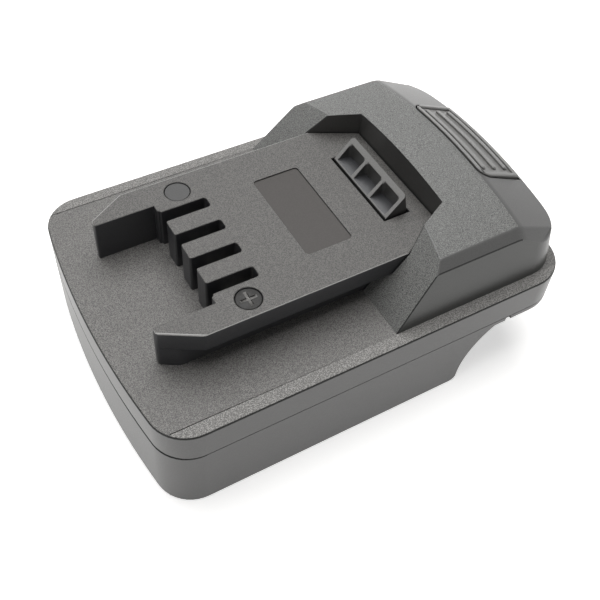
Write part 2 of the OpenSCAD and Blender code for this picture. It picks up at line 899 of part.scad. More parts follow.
// Insulating block that holds the clips in the tray's window
module contact_carrier() {
    color(dark)
        difference() {
            union() {
                wide_block(x_window + fit, x_window_end - fit, window_half - fit, z_board_top, z_tray);
                wide_block(x_window - flange, x_window_end + flange, window_half - fit, z_board_top, z_plate);
            }
            for (y = clip_y) {
                block([clip_front - fit, y - clip_gap / 2 - clip_t - fit, z_clip],
                    [clip_rear + fit, y + clip_gap / 2 + clip_t + fit, z_tray + over]);
                clip_tail(y, fit, z_board_top - over, z_clip + over);
            }
        }
}

module clip_tail(y, grow, z_from, z_to) {
    mid = (clip_front + clip_rear) / 2;
    block([mid - tail_w - grow, y - tail_w / 2 - grow, z_from],
        [mid + tail_w + grow, y + tail_w / 2 + grow, z_to]);
}

// Forked clip that grips one of the tool's blades
module contact_clip(y) {
    color(copper) {
        for (side = [-1, 1])
            translate([0, y + side * (clip_gap + clip_t) / 2, 0])
                block([clip_front, -clip_t / 2, z_clip], [clip_rear, clip_t / 2, z_clip_top]);
        block([clip_front, y - clip_gap / 2 - sliver, z_clip],
            [clip_rear, y + clip_gap / 2 + sliver, z_clip + clip_t]);
        clip_tail(y, 0, z_board - solder, z_clip + sliver);
    }
}

module contact_clip_1() {
    contact_clip(clip_y[0]);
}

module contact_clip_2() {
    contact_clip(clip_y[1]);
}

module contact_clip_3() {
    contact_clip(clip_y[2]);
}

module contact_clip_4() {
    contact_clip(clip_y[3]);
}

// Circuit board that joins the clips above to the blades below
module circuit_board() {
    color(board_green)
        difference() {
            wide_block(x_board, x_board_end, board_half, z_board, z_board_top);
            for (x = peg_x)
                for (side = [-1, 1])
                    translate([x, side * peg_y, z_board - over])
                        cylinder(d = peg_d + 2 * fit, h = board_t + 2 * over);
            for (y = clip_y)
                clip_tail(y, fit, z_board - over, z_board_top + over);
            for (y = blade_y)
                blade_slot(y, z_board - over, z_board_top + over);
            for (side = [-1, 1])
                translate([holder_screw_x, side * holder_screw_y, z_board - over])
                    cylinder(d = holder_head_d + 2 * head_room, h = board_t + 2 * over);
        }
}

// A part soldered to the board, given by its middle and its size
module on_board(x, y, size) {
    translate([x - size[0] / 2, y - size[1] / 2, z_board_top])
        cube(size);
}

module power_transistors() {
    color(chip_black)
        for (side = [-1, 1])
            on_board(x_transistor, side * transistor_y, transistor_size);
}

module control_chip() {
    color(chip_black)
        on_board(x_chip, chip_y, chip_size);
}

module chip_resistors() {
    color(chip_black)
        for (row = [0:resistor_rows - 1])
            for (side = [-1, 1])
                on_board(x_chip + side * resistor_spread, resistor_y + row * resistor_pitch, resistor_size);
}

module smoothing_capacitors() {
    color(capacitor_tan)
        for (i = [0, 1])
            on_board(x_chip, capacitor_y + i * capacitor_pitch, capacitor_size);
}

// Insulating holder under the roof plate for the battery blades
module blade_holder() {
    color(dark)
        difference() {
            wide_block(x_holder, x_holder + holder_len, holder_half, z_roof - holder_h, z_roof);
            for (y = blade_y)
                battery_blade(y, fit);
            for (side = [-1, 1])
                translate([holder_screw_x, side * holder_screw_y, z_roof - holder_shank - over])
                    cylinder(d = holder_screw_d + 2 * fit, h = holder_shank + 2 * over);
        }
}

// Screws through the roof plate that hold the blade holder up
module holder_screws() {
    color(steel)
        for (side = [-1, 1])
            screw(holder_screw_x, side * holder_screw_y, z_seam, holder_head_d, holder_shank,
                holder_head_h, holder_screw_d);
}

// Flat blade that points at the battery, with a tail up to the board
module battery_blade(y, grow = 0) {
    z_blade = z_roof - blade_drop;
    half = blade_t / 2 + grow;
    block([x_blade_tail - grow, y - half, z_blade - grow],
        [x_holder + holder_len + blade_len, y + half, z_blade + blade_h + grow]);
    block([x_blade_tail - grow, y - half, z_blade],
        [x_blade_tail + blade_tail + grow, y + half, z_board_top + solder]);
}

module power_blade_left() {
    color(copper)
        battery_blade(blade_y[3]);
}

module power_blade_right() {
    color(copper)
        battery_blade(blade_y[0]);
}

module signal_blade_left() {
    color(copper)
        battery_blade(blade_y[2]);
}

module signal_blade_right() {
    color(copper)
        battery_blade(blade_y[1]);
}

upper_shell();
lower_shell();
rail_deck();
release_slider();
latch_spring_left();
latch_spring_right();
deck_screws();
screw_plug();
housing_screws();
contact_carrier();
contact_clip_1();
contact_clip_2();
contact_clip_3();
contact_clip_4();
circuit_board();
power_transistors();
control_chip();
chip_resistors();
smoothing_capacitors();
blade_holder();
holder_screws();
power_blade_left();
power_blade_right();
signal_blade_left();
signal_blade_right();
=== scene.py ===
"""Looks of the battery adapter: moulded shells, rail deck, release latch, contacts and a plain studio."""
import logging
import math
from collections.abc import Callable, Iterable, Sequence
from dataclasses import dataclass, field
from enum import Enum

import bmesh
import bpy
from mathutils import Matrix, Vector


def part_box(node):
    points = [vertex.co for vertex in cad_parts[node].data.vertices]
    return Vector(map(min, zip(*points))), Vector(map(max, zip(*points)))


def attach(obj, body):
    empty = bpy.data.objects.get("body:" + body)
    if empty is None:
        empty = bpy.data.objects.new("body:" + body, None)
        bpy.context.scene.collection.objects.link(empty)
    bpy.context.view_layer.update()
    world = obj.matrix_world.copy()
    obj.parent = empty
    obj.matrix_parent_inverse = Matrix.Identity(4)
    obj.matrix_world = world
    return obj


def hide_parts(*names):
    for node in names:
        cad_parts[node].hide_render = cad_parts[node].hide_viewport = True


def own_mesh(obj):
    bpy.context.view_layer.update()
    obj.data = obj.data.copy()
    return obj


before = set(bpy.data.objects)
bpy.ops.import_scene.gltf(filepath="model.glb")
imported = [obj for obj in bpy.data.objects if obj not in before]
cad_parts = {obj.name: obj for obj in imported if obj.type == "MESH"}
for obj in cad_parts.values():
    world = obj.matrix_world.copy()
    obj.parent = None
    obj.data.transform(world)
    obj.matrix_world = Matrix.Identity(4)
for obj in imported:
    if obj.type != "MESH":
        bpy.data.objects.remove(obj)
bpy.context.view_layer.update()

Socket = bpy.types.NodeSocket
Source = Socket | float | tuple
Triple = tuple[float, float, float]

MM = 0.001
WHITE = (1.0, 1.0, 1.0, 1.0)
BLACK = (0.0, 0.0, 0.0, 1.0)
DUST = (0.32, 0.31, 0.29, 1.0)
log = logging.getLogger("battery_adapter")


class Body(Enum):
    """Rigid bodies of the adapter."""

    HOUSING = "housing"
    RELEASE = "release"


class Surface(Enum):
    """Finishes that a face can have; the value is the material's name."""

    GRAINED = "grained"
    # Lighter grain on the tray's side rims: painted light.
    LIT_RIM_GRAIN = "rim_grain"
    HUMP_GRAIN = "hump_grain"
    FINE_GRAIN = "fine_grain"
    SATIN = "satin"
    # Darker satin on the hump's outer sides: painted shade.
    SHADED_HUMP_SATIN = "hump_satin"
    # Darker, bluish satin for the deck's walls and the slider's upward faces: painted shade.
    SHADED_SATIN = "dark_satin"
    # Nearly black roundings: painted shade along the seam and on edges that turn partly up.
    SHADED_EDGE = "polished_edge"
    # Light roundings on the top edges of the rails: painted highlight.
    HIGHLIGHT_EDGE = "rubbed_edge"
    # Lighter satin on the tooth's ramp and the thumb button: painted light.
    LIT_GRIP = "grip"
    LABEL = "label"
    PLUG = "plug"
    BLACK_STEEL = "black_steel"
    WORN_STEEL = "worn_steel"
    BRIGHT_STEEL = "bright_steel"
    TINNED = "tinned"
    INSULATOR = "insulator"
    CONTACT = "contact"
    LAMINATE = "laminate"
    CAPACITOR = "capacitor"


class Graph:
    """Adds and joins the nodes of one shader tree.

    Args:
        tree: node tree of a material, a world or a group.
    """

    def __init__(self, tree: bpy.types.NodeTree) -> None:
        """Keeps the tree."""
        self.tree = tree

    def find(self, kind: str) -> bpy.types.Node:
        """Gives the node of a kind that a new tree starts with."""
        return next(node for node in self.tree.nodes if node.type == kind)

    def add(self, kind: str, **settings: object) -> bpy.types.Node:
        """Adds a node.

        Args:
            kind: Blender's name of the node type.
            **settings: attributes of the node.

        Returns:
            The new node.
        """
        node = self.tree.nodes.new(kind)
        for name, value in settings.items():
            setattr(node, name, value)
        return node

    def feed(self, target: Socket, source: Source) -> None:
        """Links a socket, or sets its value.

        Args:
            target: input socket.
            source: output socket to link from, or a plain value.
        """
        if isinstance(source, Socket):
            self.tree.links.new(source, target)
        else:
            target.default_value = source

    def fill(self, node: bpy.types.Node, sources: dict[str, Source]) -> None:
        """Feeds several inputs of a node.

        Args:
            node: node to feed.
            sources: what each input takes, by its name.
        """
        for name, source in sources.items():
            self.feed(node.inputs[name], source)

    def math(self, operation: str, *values: Socket | float) -> Socket:
        """Adds a Math node.

        Args:
            operation: name of the operation.
            *values: its inputs in order.

        Returns:
            The result.
        """
        node = self.add("ShaderNodeMath", operation=operation)
        for socket, value in zip(node.inputs, values):
            self.feed(socket, value)
        return node.outputs[0]

    def weigh(self, first: Socket, second: Socket, share: float) -> Socket:
        """Gives the mean of two numbers, with a share of the second."""
        parts = ((first, 1.0 - share), (second, share))
        return self.math("ADD", *(self.math("MULTIPLY", *part) for part in parts))

    def ramp(self, value: Socket, low: float, high: float) -> Socket:
        """Stretches the span from low to high over 0 to 1, with soft ends.

        Args:
            value: number to stretch.
            low: what becomes 0.
            high: what becomes 1.

        Returns:
            The stretched number.
        """
        node = self.add("ShaderNodeMapRange", interpolation_type="SMOOTHSTEP")
        self.fill(node, {"Value": value, "From Min": low, "From Max": high})
        return node.outputs["Result"]

    def span(self, value: Socket, low: Socket | float, high: float) -> Socket:
        """Spreads a number that runs from 0 to 1 over low to high.

        Args:
            value: number from 0 to 1.
            low: what 0 becomes.
            high: what 1 becomes.

        Returns:
            The spread number.
        """
        node = self.add("ShaderNodeMapRange")
        self.fill(node, {"Value": value, "To Min": low, "To Max": high})
        return node.outputs["Result"]

    def blend(self, factor: Socket, first: Socket | tuple, second: Socket | tuple) -> Socket:
        """Mixes two colours.

        Args:
            factor: share of the second colour.
            first: colour at 0.
            second: colour at 1.

        Returns:
            The mixed colour.
        """
        node = self.add("ShaderNodeMix", data_type="RGBA")
        sockets = [socket for socket in node.inputs if socket.enabled]
        for socket, source in zip(sockets, (factor, first, second)):
            self.feed(socket, source)
        return next(socket for socket in node.outputs if socket.enabled)

    def rise(self, vector: Socket) -> Socket:
        """Takes the upward part of a vector.

        Args:
            vector: the vector.

        Returns:
            Its Z.
        """
        split = self.add("ShaderNodeSeparateXYZ")
        self.feed(split.inputs["Vector"], vector)
        return split.outputs["Z"]


def colour(red: float, green: float, blue: float) -> tuple[float, float, float, float]:
    """Gives an opaque colour from linear red, green and blue."""
    return (red, green, blue, 1.0)


class EffectGroups:
    """Shader node groups that several finishes share, each built once."""

    # Sizes of the noises: two as shares of the grain's size, two in millimetres.
    FINE_SIZE = 0.45
    CLOUD_SIZE = 60.0
    PATCH_SIZE = 2.5
    SPECK_SIZE = 0.5
    # Levels between which a mask goes from 0 to 1.
    PIT_SPAN = (0.4, 0.6)
    BEND_SPAN = (0.505, 0.56)
    PATCH_SPAN = (0.35, 0.7)
    UP_SPAN = (0.3, 1.0)
    SPECK_SPAN = (0.72, 0.8)

    def __init__(self) -> None:
        """Builds the groups."""
        self.grain = self.build_grain()
        self.wear = self.build_wear()
        self.dust = self.build_dust()

    @staticmethod
    def start(name: str, inputs: dict[str, float], outputs: Sequence[str]) -> tuple:
        """Starts a group.

        Args:
            name: name of the group.
            inputs: its number inputs with their usual values.
            outputs: its number outputs.

        Returns:
            The graph, the sockets of the inputs by name and the sockets of the outputs by name.
        """
        tree = bpy.data.node_groups.new(name, "ShaderNodeTree")
        for label, value in inputs.items():
            socket = tree.interface.new_socket(label, in_out="INPUT", socket_type="NodeSocketFloat")
            socket.default_value = value
        for label in outputs:
            tree.interface.new_socket(label, in_out="OUTPUT", socket_type="NodeSocketFloat")
        graph = Graph(tree)
        entry = graph.add("NodeGroupInput")
        leave = graph.add("NodeGroupOutput")
        return graph, {label: entry.outputs[label] for label in inputs}, leave.inputs

    @staticmethod
    def noise(graph: Graph, size: Socket | float, detail: float, roughness: float = 0.5) -> Socket:
        """Adds a noise that is fixed to the piece.

        Args:
            graph: graph to add to.
            size: size of its blobs in millimetres.
            detail: number of finer layers.
            roughness: weight of the finer layers.

        Returns:
            The noise, about 0.5 in the mean.
        """
        texture = graph.add("ShaderNodeTexNoise", noise_dimensions="3D")
        graph.fill(texture, {"Vector": graph.add("ShaderNodeTexCoord").outputs["Object"],
                             "Scale": graph.math("DIVIDE", 1 / MM, size),
                             "Detail": detail, "Roughness": roughness})
        return texture.outputs["Fac"]

    def build_grain(self) -> bpy.types.NodeTree:
        """Builds the spark-eroded grain of a mould: pits, their tone, and how dull they are.

        Returns:
            The group.
        """
        graph, given, leave = self.start("mould_grain", {"Size": 0.4}, ("Height", "Tone", "Dullness"))
        pits = graph.ramp(self.noise(graph, given["Size"], 1.0), *self.PIT_SPAN)
        fine = self.noise(graph, graph.math("MULTIPLY", given["Size"], self.FINE_SIZE), 1.0)
        cloud = self.noise(graph, graph.math("MULTIPLY", given["Size"], self.CLOUD_SIZE), 3.0)
        for label, first, second, share in (("Height", pits, fine, 0.25), ("Tone", pits, cloud, 0.06),
                                            ("Dullness", fine, cloud, 0.15)):
            graph.feed(leave[label], graph.weigh(first, second, share))
        return graph.tree

    def build_wear(self) -> bpy.types.NodeTree:
        """Builds the light rubbing on outer edges.

        Returns:
            The group.
        """
        graph, _, leave = self.start("edge_wear", {}, ("Mask",))
        edge = graph.ramp(graph.add("ShaderNodeNewGeometry").outputs["Pointiness"], *self.BEND_SPAN)
        patches = graph.ramp(self.noise(graph, self.PATCH_SIZE, 4.0, 0.6), *self.PATCH_SPAN)
        graph.feed(leave["Mask"], graph.math("MULTIPLY", edge, patches))
        return graph.tree

    def build_dust(self) -> bpy.types.NodeTree:
        """Builds fine dust that settles on what faces up.

        Returns:
            The group.
        """
        graph, given, leave = self.start("settled_dust", {"Amount": 0.3}, ("Mask",))
        normal = graph.add("ShaderNodeNewGeometry").outputs["Normal"]
        facing = graph.ramp(graph.rise(normal), *self.UP_SPAN)
        specks = graph.ramp(self.noise(graph, self.SPECK_SIZE, 1.0), *self.SPECK_SPAN)
        settled = graph.math("MULTIPLY", facing, specks)
        graph.feed(leave["Mask"], graph.math("MULTIPLY", settled, given["Amount"]))
        return graph.tree


@dataclass(frozen=True)
class Finish:
    """What every finish has.

    Attributes:
        surface: which finish it is.
        dark: darkest colour, linear.
        light: lightest colour, linear.
        rough_low: roughness where it is smoothest.
        rough_high: roughness where it is dullest.
        metallic: 1 for a metal, 0 for the rest.
        grain_size: size of the grain in millimetres.
        grain_depth: depth of the grain in millimetres.
        wear: share of the worn colour on outer edges.
        dust: share of dust on what faces up.
        worn: colour of a rubbed edge, linear.
        specular: strength of the mirror-like reflection, 0.5 for most plastics.
    """

    surface: Surface
    dark: Triple
    light: Triple
    rough_low: float
    rough_high: float
    metallic: float = 0.0
    grain_size: float = 0.4
    grain_depth: float = 0.02
    wear: float = 0.0
    dust: float = 0.0
    worn: Triple = (0.2, 0.2, 0.2)
    specular: float = 0.5

    def build(self, groups: EffectGroups) -> bpy.types.Material:
        """Makes the material.

        Args:
            groups: shared effects.

        Returns:
            The material.
        """
        material = bpy.data.materials.new(self.surface.value)
        material.use_nodes = True
        graph = Graph(material.node_tree)
        grain = graph.add("ShaderNodeGroup", node_tree=groups.grain)
        grain.inputs["Size"].default_value = self.grain_size
        base = graph.blend(grain.outputs["Tone"], colour(*self.dark), colour(*self.light))
        if self.wear:
            worn = graph.add("ShaderNodeGroup", node_tree=groups.wear)
            share = graph.math("MULTIPLY", worn.outputs["Mask"], self.wear)
            base = graph.blend(share, base, colour(*self.worn))
        if self.dust:
            dust = graph.add("ShaderNodeGroup", node_tree=groups.dust)
            dust.inputs["Amount"].default_value = self.dust
            base = graph.blend(dust.outputs["Mask"], base, DUST)
        bump = graph.add("ShaderNodeBump")
        graph.fill(bump, {"Strength": 1.0, "Distance": self.grain_depth * MM,
                          "Height": grain.outputs["Height"]})
        rough = graph.span(grain.outputs["Dullness"], self.rough_low, self.rough_high)
        graph.fill(graph.find("BSDF_PRINCIPLED"),
                   {"Base Color": base, "Roughness": rough, "Metallic": self.metallic,
                    "Specular IOR Level": self.specular, "Normal": bump.outputs["Normal"]})
        return material


@dataclass(frozen=True)
class Grained(Finish):
    """Spark-eroded plastic with a little dust on it."""

    dust: float = 0.3


@dataclass(frozen=True)
class Satin(Finish):
    """Plastic that is almost smooth."""

    grain_size: float = 0.25
    grain_depth: float = 0.006


@dataclass(frozen=True)
class Metal(Finish):
    """Metal with rubbed edges."""

    metallic: float = 1.0
    wear: float = 0.3


# Distances in millimetres: vertices that are welded, and places that count as one.
WELD = 0.03
NEAR = 0.1
# Parts of a direction that has the length 1: hardly turned a way, half turned, and all the way.
TURNED = 0.2
FACING = 0.5
ALIGNED = 0.9


@dataclass(frozen=True)
class EdgeView:
    """One edge of a piece as a rounding rule sees it, in millimetres.

    Attributes:
        mid: its middle.
        along: its direction, of length 1.
        out: mean of the normals beside it, of length 1.
        turn: angle between the faces beside it, in degrees.
        convex: whether it is an outer edge.
    """

    mid: Vector
    along: Vector
    out: Vector
    turn: float
    convex: bool

    @property
    def upright(self) -> bool:
        """Tells whether the edge stands up."""
        return abs(self.along.z) > ALIGNED

    @property
    def outward(self) -> bool:
        """Tells whether the edge faces away from the middle of the housing."""
        return self.out.xy.dot(self.mid.xy) > 0


@dataclass(frozen=True)
class FaceView:
    """One face of a piece as a texture rule sees it, in millimetres.

    Attributes:
        mid: its middle.
        normal: its direction, of length 1.
    """

    mid: Vector
    normal: Vector

    @property
    def outward(self) -> bool:
        """Tells whether the face looks away from the middle of the housing."""
        return self.normal.xy.dot(self.mid.xy) > 0


RoundRule = Callable[[EdgeView], float]
TextureRule = Callable[[FaceView], Surface]
Box = tuple[Vector, Vector]


def box_mm(node: str) -> Box:
    """Gives the lowest and highest corners of a CAD node in millimetres."""
    low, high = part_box(node)
    return Vector(low) / MM, Vector(high) / MM


def node_mesh(node: str) -> bmesh.types.BMesh:
    """Copies the mesh of a CAD node and welds it.

    Args:
        node: name of the CAD node.

    Returns:
        The copy, in metres.
    """
    mesh = bmesh.new()
    mesh.from_mesh(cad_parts[node].data)
    bmesh.ops.remove_doubles(mesh, verts=mesh.verts, dist=WELD * MM)
    return mesh


def solid_boxes(node: str) -> list[Box]:
    """Gives the corners of each separate solid of a CAD node.

    Args:
        node: name of the CAD node.

    Returns:
        Lowest and highest corners in millimetres, sorted along X and then Y.
    """
    mesh = node_mesh(node)
    left = set(mesh.verts)
    boxes = []
    while left:
        found = [left.pop()]
        for vert in found:
            near = {edge.other_vert(vert) for edge in vert.link_edges} & left
            left -= near
            found.extend(near)
        places = [vert.co / MM for vert in found]
        boxes.append(tuple(Vector([pick(place[axis] for place in places) for axis in range(3)])
                           for pick in (min, max)))
    mesh.free()
    return sorted(boxes, key=lambda box: (round(box[0].x, 2), round(box[0].y, 2)))


def new_object(name: str, mesh: bmesh.types.BMesh) -> bpy.types.Object:
    """Makes an object from a mesh and frees the mesh.

    Args:
        name: name of the object.
        mesh: its shape, in metres.

    Returns:
        The object, in the scene.
    """
    data = bpy.data.meshes.new(name)
    mesh.to_mesh(data)
    mesh.free()
    piece = bpy.data.objects.new(name, data)
    bpy.context.collection.objects.link(piece)
    return piece


class Moulding:
    """A CAD node's shape as a mesh with rounded edges.

    Args:
        node: name of the CAD node.
    """

    # Angles in degrees: faces that are joined, edges that can be rounded, and edges that are shaded sharp.
    FLAT = 0.2
    SHARP = 24.0
    CREASE = 40.0
    # Faces across a rounding, distance in millimetres at which a cut meets a vertex, and cuts of a crease.
    SEGMENTS = 3
    SNAP = 0.001
    SOFT_CUTS = (-1.0, -0.6, -0.2, 0.2, 0.6, 1.0)

    def __init__(self, node: str) -> None:
        """Copies the node's mesh and joins its flat triangles."""
        self.palette: dict[Surface, int] = {}
        self.mesh = node_mesh(node)
        bmesh.ops.dissolve_limit(self.mesh, angle_limit=math.radians(self.FLAT), verts=self.mesh.verts,
                                 edges=self.mesh.edges, use_dissolve_boundaries=False, delimit=set())
        self.mesh.normal_update()

    def cut(self, faces: Iterable[bmesh.types.BMFace], place: Triple, normal: Triple) -> None:
        """Cuts faces along a plane.

        Args:
            faces: faces to cut.
            place: a point of the plane, in metres.
            normal: direction of the plane.
        """
        parts = dict.fromkeys(part for face in faces for part in (face, *face.edges, *face.verts))
        bmesh.ops.bisect_plane(self.mesh, geom=list(parts), dist=self.SNAP * MM, plane_co=place,
                               plane_no=normal)
        self.mesh.normal_update()

    def soften(self, x: float, reach: float, slope: float, lowest: float) -> None:
        """Rounds the crease across the top at one place along the housing.

        Args:
            x: place of the crease in millimetres.
            reach: distance that the rounding reaches to each side in millimetres.
            slope: fall behind the crease, as height over length.
            lowest: height above which faces count as the top, in millimetres.
        """
        for share in self.SOFT_CUTS:
            top = [face for face in self.mesh.faces if face.normal.z > FACING
                   and min(vert.co.z for vert in face.verts) > lowest * MM]
            self.cut(top, ((x + share * reach) * MM, 0.0, 0.0), (1.0, 0.0, 0.0))
        for vert in self.mesh.verts:
            gap = reach - abs(vert.co.x / MM - x)
            on_top = vert.co.z > lowest * MM and any(face.normal.z > FACING for face in vert.link_faces)
            if gap > 0 and on_top:
                vert.co.z -= slope * gap * gap / (4 * reach) * MM
        self.mesh.normal_update()

    def part_off(self, y: float, height: float) -> None:
        """Cuts the level faces at a height lengthwise, so that each side can have its own surface.

        Args:
            y: place of the cut across the housing in millimetres.
            height: height of the faces in millimetres.
        """
        level = [face for face in self.mesh.faces if face.normal.z > ALIGNED
                 and abs(face.calc_center_median().z / MM - height) < NEAR]
        self.cut(level, (0.0, y * MM, 0.0), (0.0, 1.0, 0.0))

    @staticmethod
    def view(face: bmesh.types.BMFace) -> FaceView:
        """Describes a face for a texture rule."""
        return FaceView(face.calc_center_median() / MM, face.normal.copy())

    @staticmethod
    def look(edge: bmesh.types.BMEdge) -> EdgeView:
        """Describes an edge for a rounding rule.

        Args:
            edge: edge of the mesh.

        Returns:
            Its description.
        """
        first, second = edge.verts
        normals = [face.normal for face in edge.link_faces]
        return EdgeView((first.co + second.co) / 2 / MM, (second.co - first.co).normalized(),
                        sum(normals, Vector()).normalized(), math.degrees(edge.calc_face_angle(0.0)),
                        edge.is_convex)

    def place_of(self, surface: Surface) -> int:
        """Gives the material place of a surface, which joins the palette if it is new."""
        return self.palette.setdefault(surface, len(self.palette))

    def finish(self, name: str, rule: RoundRule, texture: TextureRule, widest: float,
               edges: TextureRule | None = None) -> bpy.types.Object:
        """Rounds the edges and makes the object.

        Args:
            name: name of the piece.
            rule: gives each sharp edge's radius in millimetres, 0 for an edge that stays sharp.
            texture: gives each face's surface.
            widest: largest radius that the rule gives.
            edges: gives the surface of each face of a rounding; without it they take after the faces
                beside them.

        Returns:
            The new object.
        """
        weight = self.mesh.edges.layers.float.new("bevel_weight_edge")
        for face in self.mesh.faces:
            face.smooth = True
            face.material_index = self.place_of(texture(self.view(face)))
        for edge in self.mesh.edges:
            view = self.look(edge)
            if view.turn >= self.SHARP:
                edge[weight] = rule(view) / widest
        # Roundings first take the nearly black finish of painted shade; the edges rule then gives each its
        # surface.
        edge_place = self.place_of(Surface.SHADED_EDGE) if edges else -1
        piece = new_object(name, self.mesh)
        for _ in self.palette:
            piece.data.materials.append(None)
        bevel = piece.modifiers.new("rounded_edges", "BEVEL")
        bevel.limit_method = "WEIGHT"
        bevel.width = widest * MM
        bevel.segments = self.SEGMENTS
        bevel.use_clamp_overlap = False
        bevel.material = edge_place
        self.bake(piece, edges)
        return piece

    def bake(self, piece: bpy.types.Object, edges: TextureRule | None) -> None:
        """Makes the rounding part of the mesh and keeps creases sharp.

        Args:
            piece: object with its rounding as a modifier.
            edges: gives the surface of each face of the rounding.
        """
        solved = piece.evaluated_get(bpy.context.evaluated_depsgraph_get())
        rounded = bpy.data.meshes.new_from_object(solved)
        piece.modifiers.clear()
        mesh = bmesh.new()
        mesh.from_mesh(rounded)
        bpy.data.meshes.remove(rounded)
        for face in mesh.faces if edges else ():
            if face.material_index == self.place_of(Surface.SHADED_EDGE):
                face.material_index = self.place_of(edges(self.view(face)))
        for edge in mesh.edges:
            edge.smooth = math.degrees(edge.calc_face_angle(0.0)) < self.CREASE
        mesh.to_mesh(piece.data)
        mesh.free()
        piece.modifiers.new("even_shading", "WEIGHTED_NORMAL").keep_sharp = True


class Shape:
    """A mesh put together from boxes and skins, in millimetres."""

    SHARP = 38.0

    def __init__(self) -> None:
        """Starts an empty mesh."""
        self.mesh = bmesh.new()

    def join(self, part: bmesh.types.BMesh) -> None:
        """Adds a closed part and frees it.

        Args:
            part: mesh of the part, in metres.
        """
        bmesh.ops.recalc_face_normals(part, faces=part.faces)
        data = bpy.data.meshes.new("part")
        part.to_mesh(data)
        part.free()
        self.mesh.from_mesh(data)
        bpy.data.meshes.remove(data)

    def box(self, low: Vector, high: Vector, radius: float, place: int = 0) -> None:
        """Adds a box with rounded edges.

        Args:
            low: lowest corner.
            high: highest corner.
            radius: radius of its edges.
            place: its material place.
        """
        part = bmesh.new()
        stretch = Matrix.Diagonal((*((high - low) * MM), 1.0))
        bmesh.ops.create_cube(part, size=1.0, matrix=Matrix.Translation((low + high) / 2 * MM) @ stretch)
        bmesh.ops.bevel(part, geom=part.edges[:], offset=radius * MM, offset_type="OFFSET", segments=2,
                        profile=0.5, affect="EDGES", clamp_overlap=True)
        for face in part.faces:
            face.material_index = place
        self.join(part)

    def skin(self, loops: Sequence[Sequence[Vector]], tail: int = 0) -> None:
        """Adds a skin over closed loops of equal length, with both ends capped.

        Args:
            loops: loops of points.
            tail: number of last rows that take the second material place.
        """
        part = bmesh.new()
        rings = [[part.verts.new(point * MM) for point in loop] for loop in loops]
        for lower, upper in zip(rings, rings[1:]):
            for here in range(len(lower)):
                after = (here + 1) % len(lower)
                part.faces.new((lower[here], lower[after], upper[after], upper[here]))
        part.faces.new(rings[0])
        last = part.faces.new(rings[-1])
        part.faces.ensure_lookup_table()
        width = len(rings[0])
        marked = [last, *part.faces[len(part.faces) - 2 - tail * width:-2]] if tail else []
        for face in marked:
            face.material_index = 1
        self.join(part)

    def finish(self, name: str) -> bpy.types.Object:
        """Sets smooth and sharp edges and makes the object.

        Args:
            name: name of the piece.

        Returns:
            The new object.
        """
        for face in self.mesh.faces:
            face.smooth = True
        for edge in self.mesh.edges:
            edge.smooth = math.degrees(edge.calc_face_angle(0.0)) < self.SHARP
        return new_object(name, self.mesh)


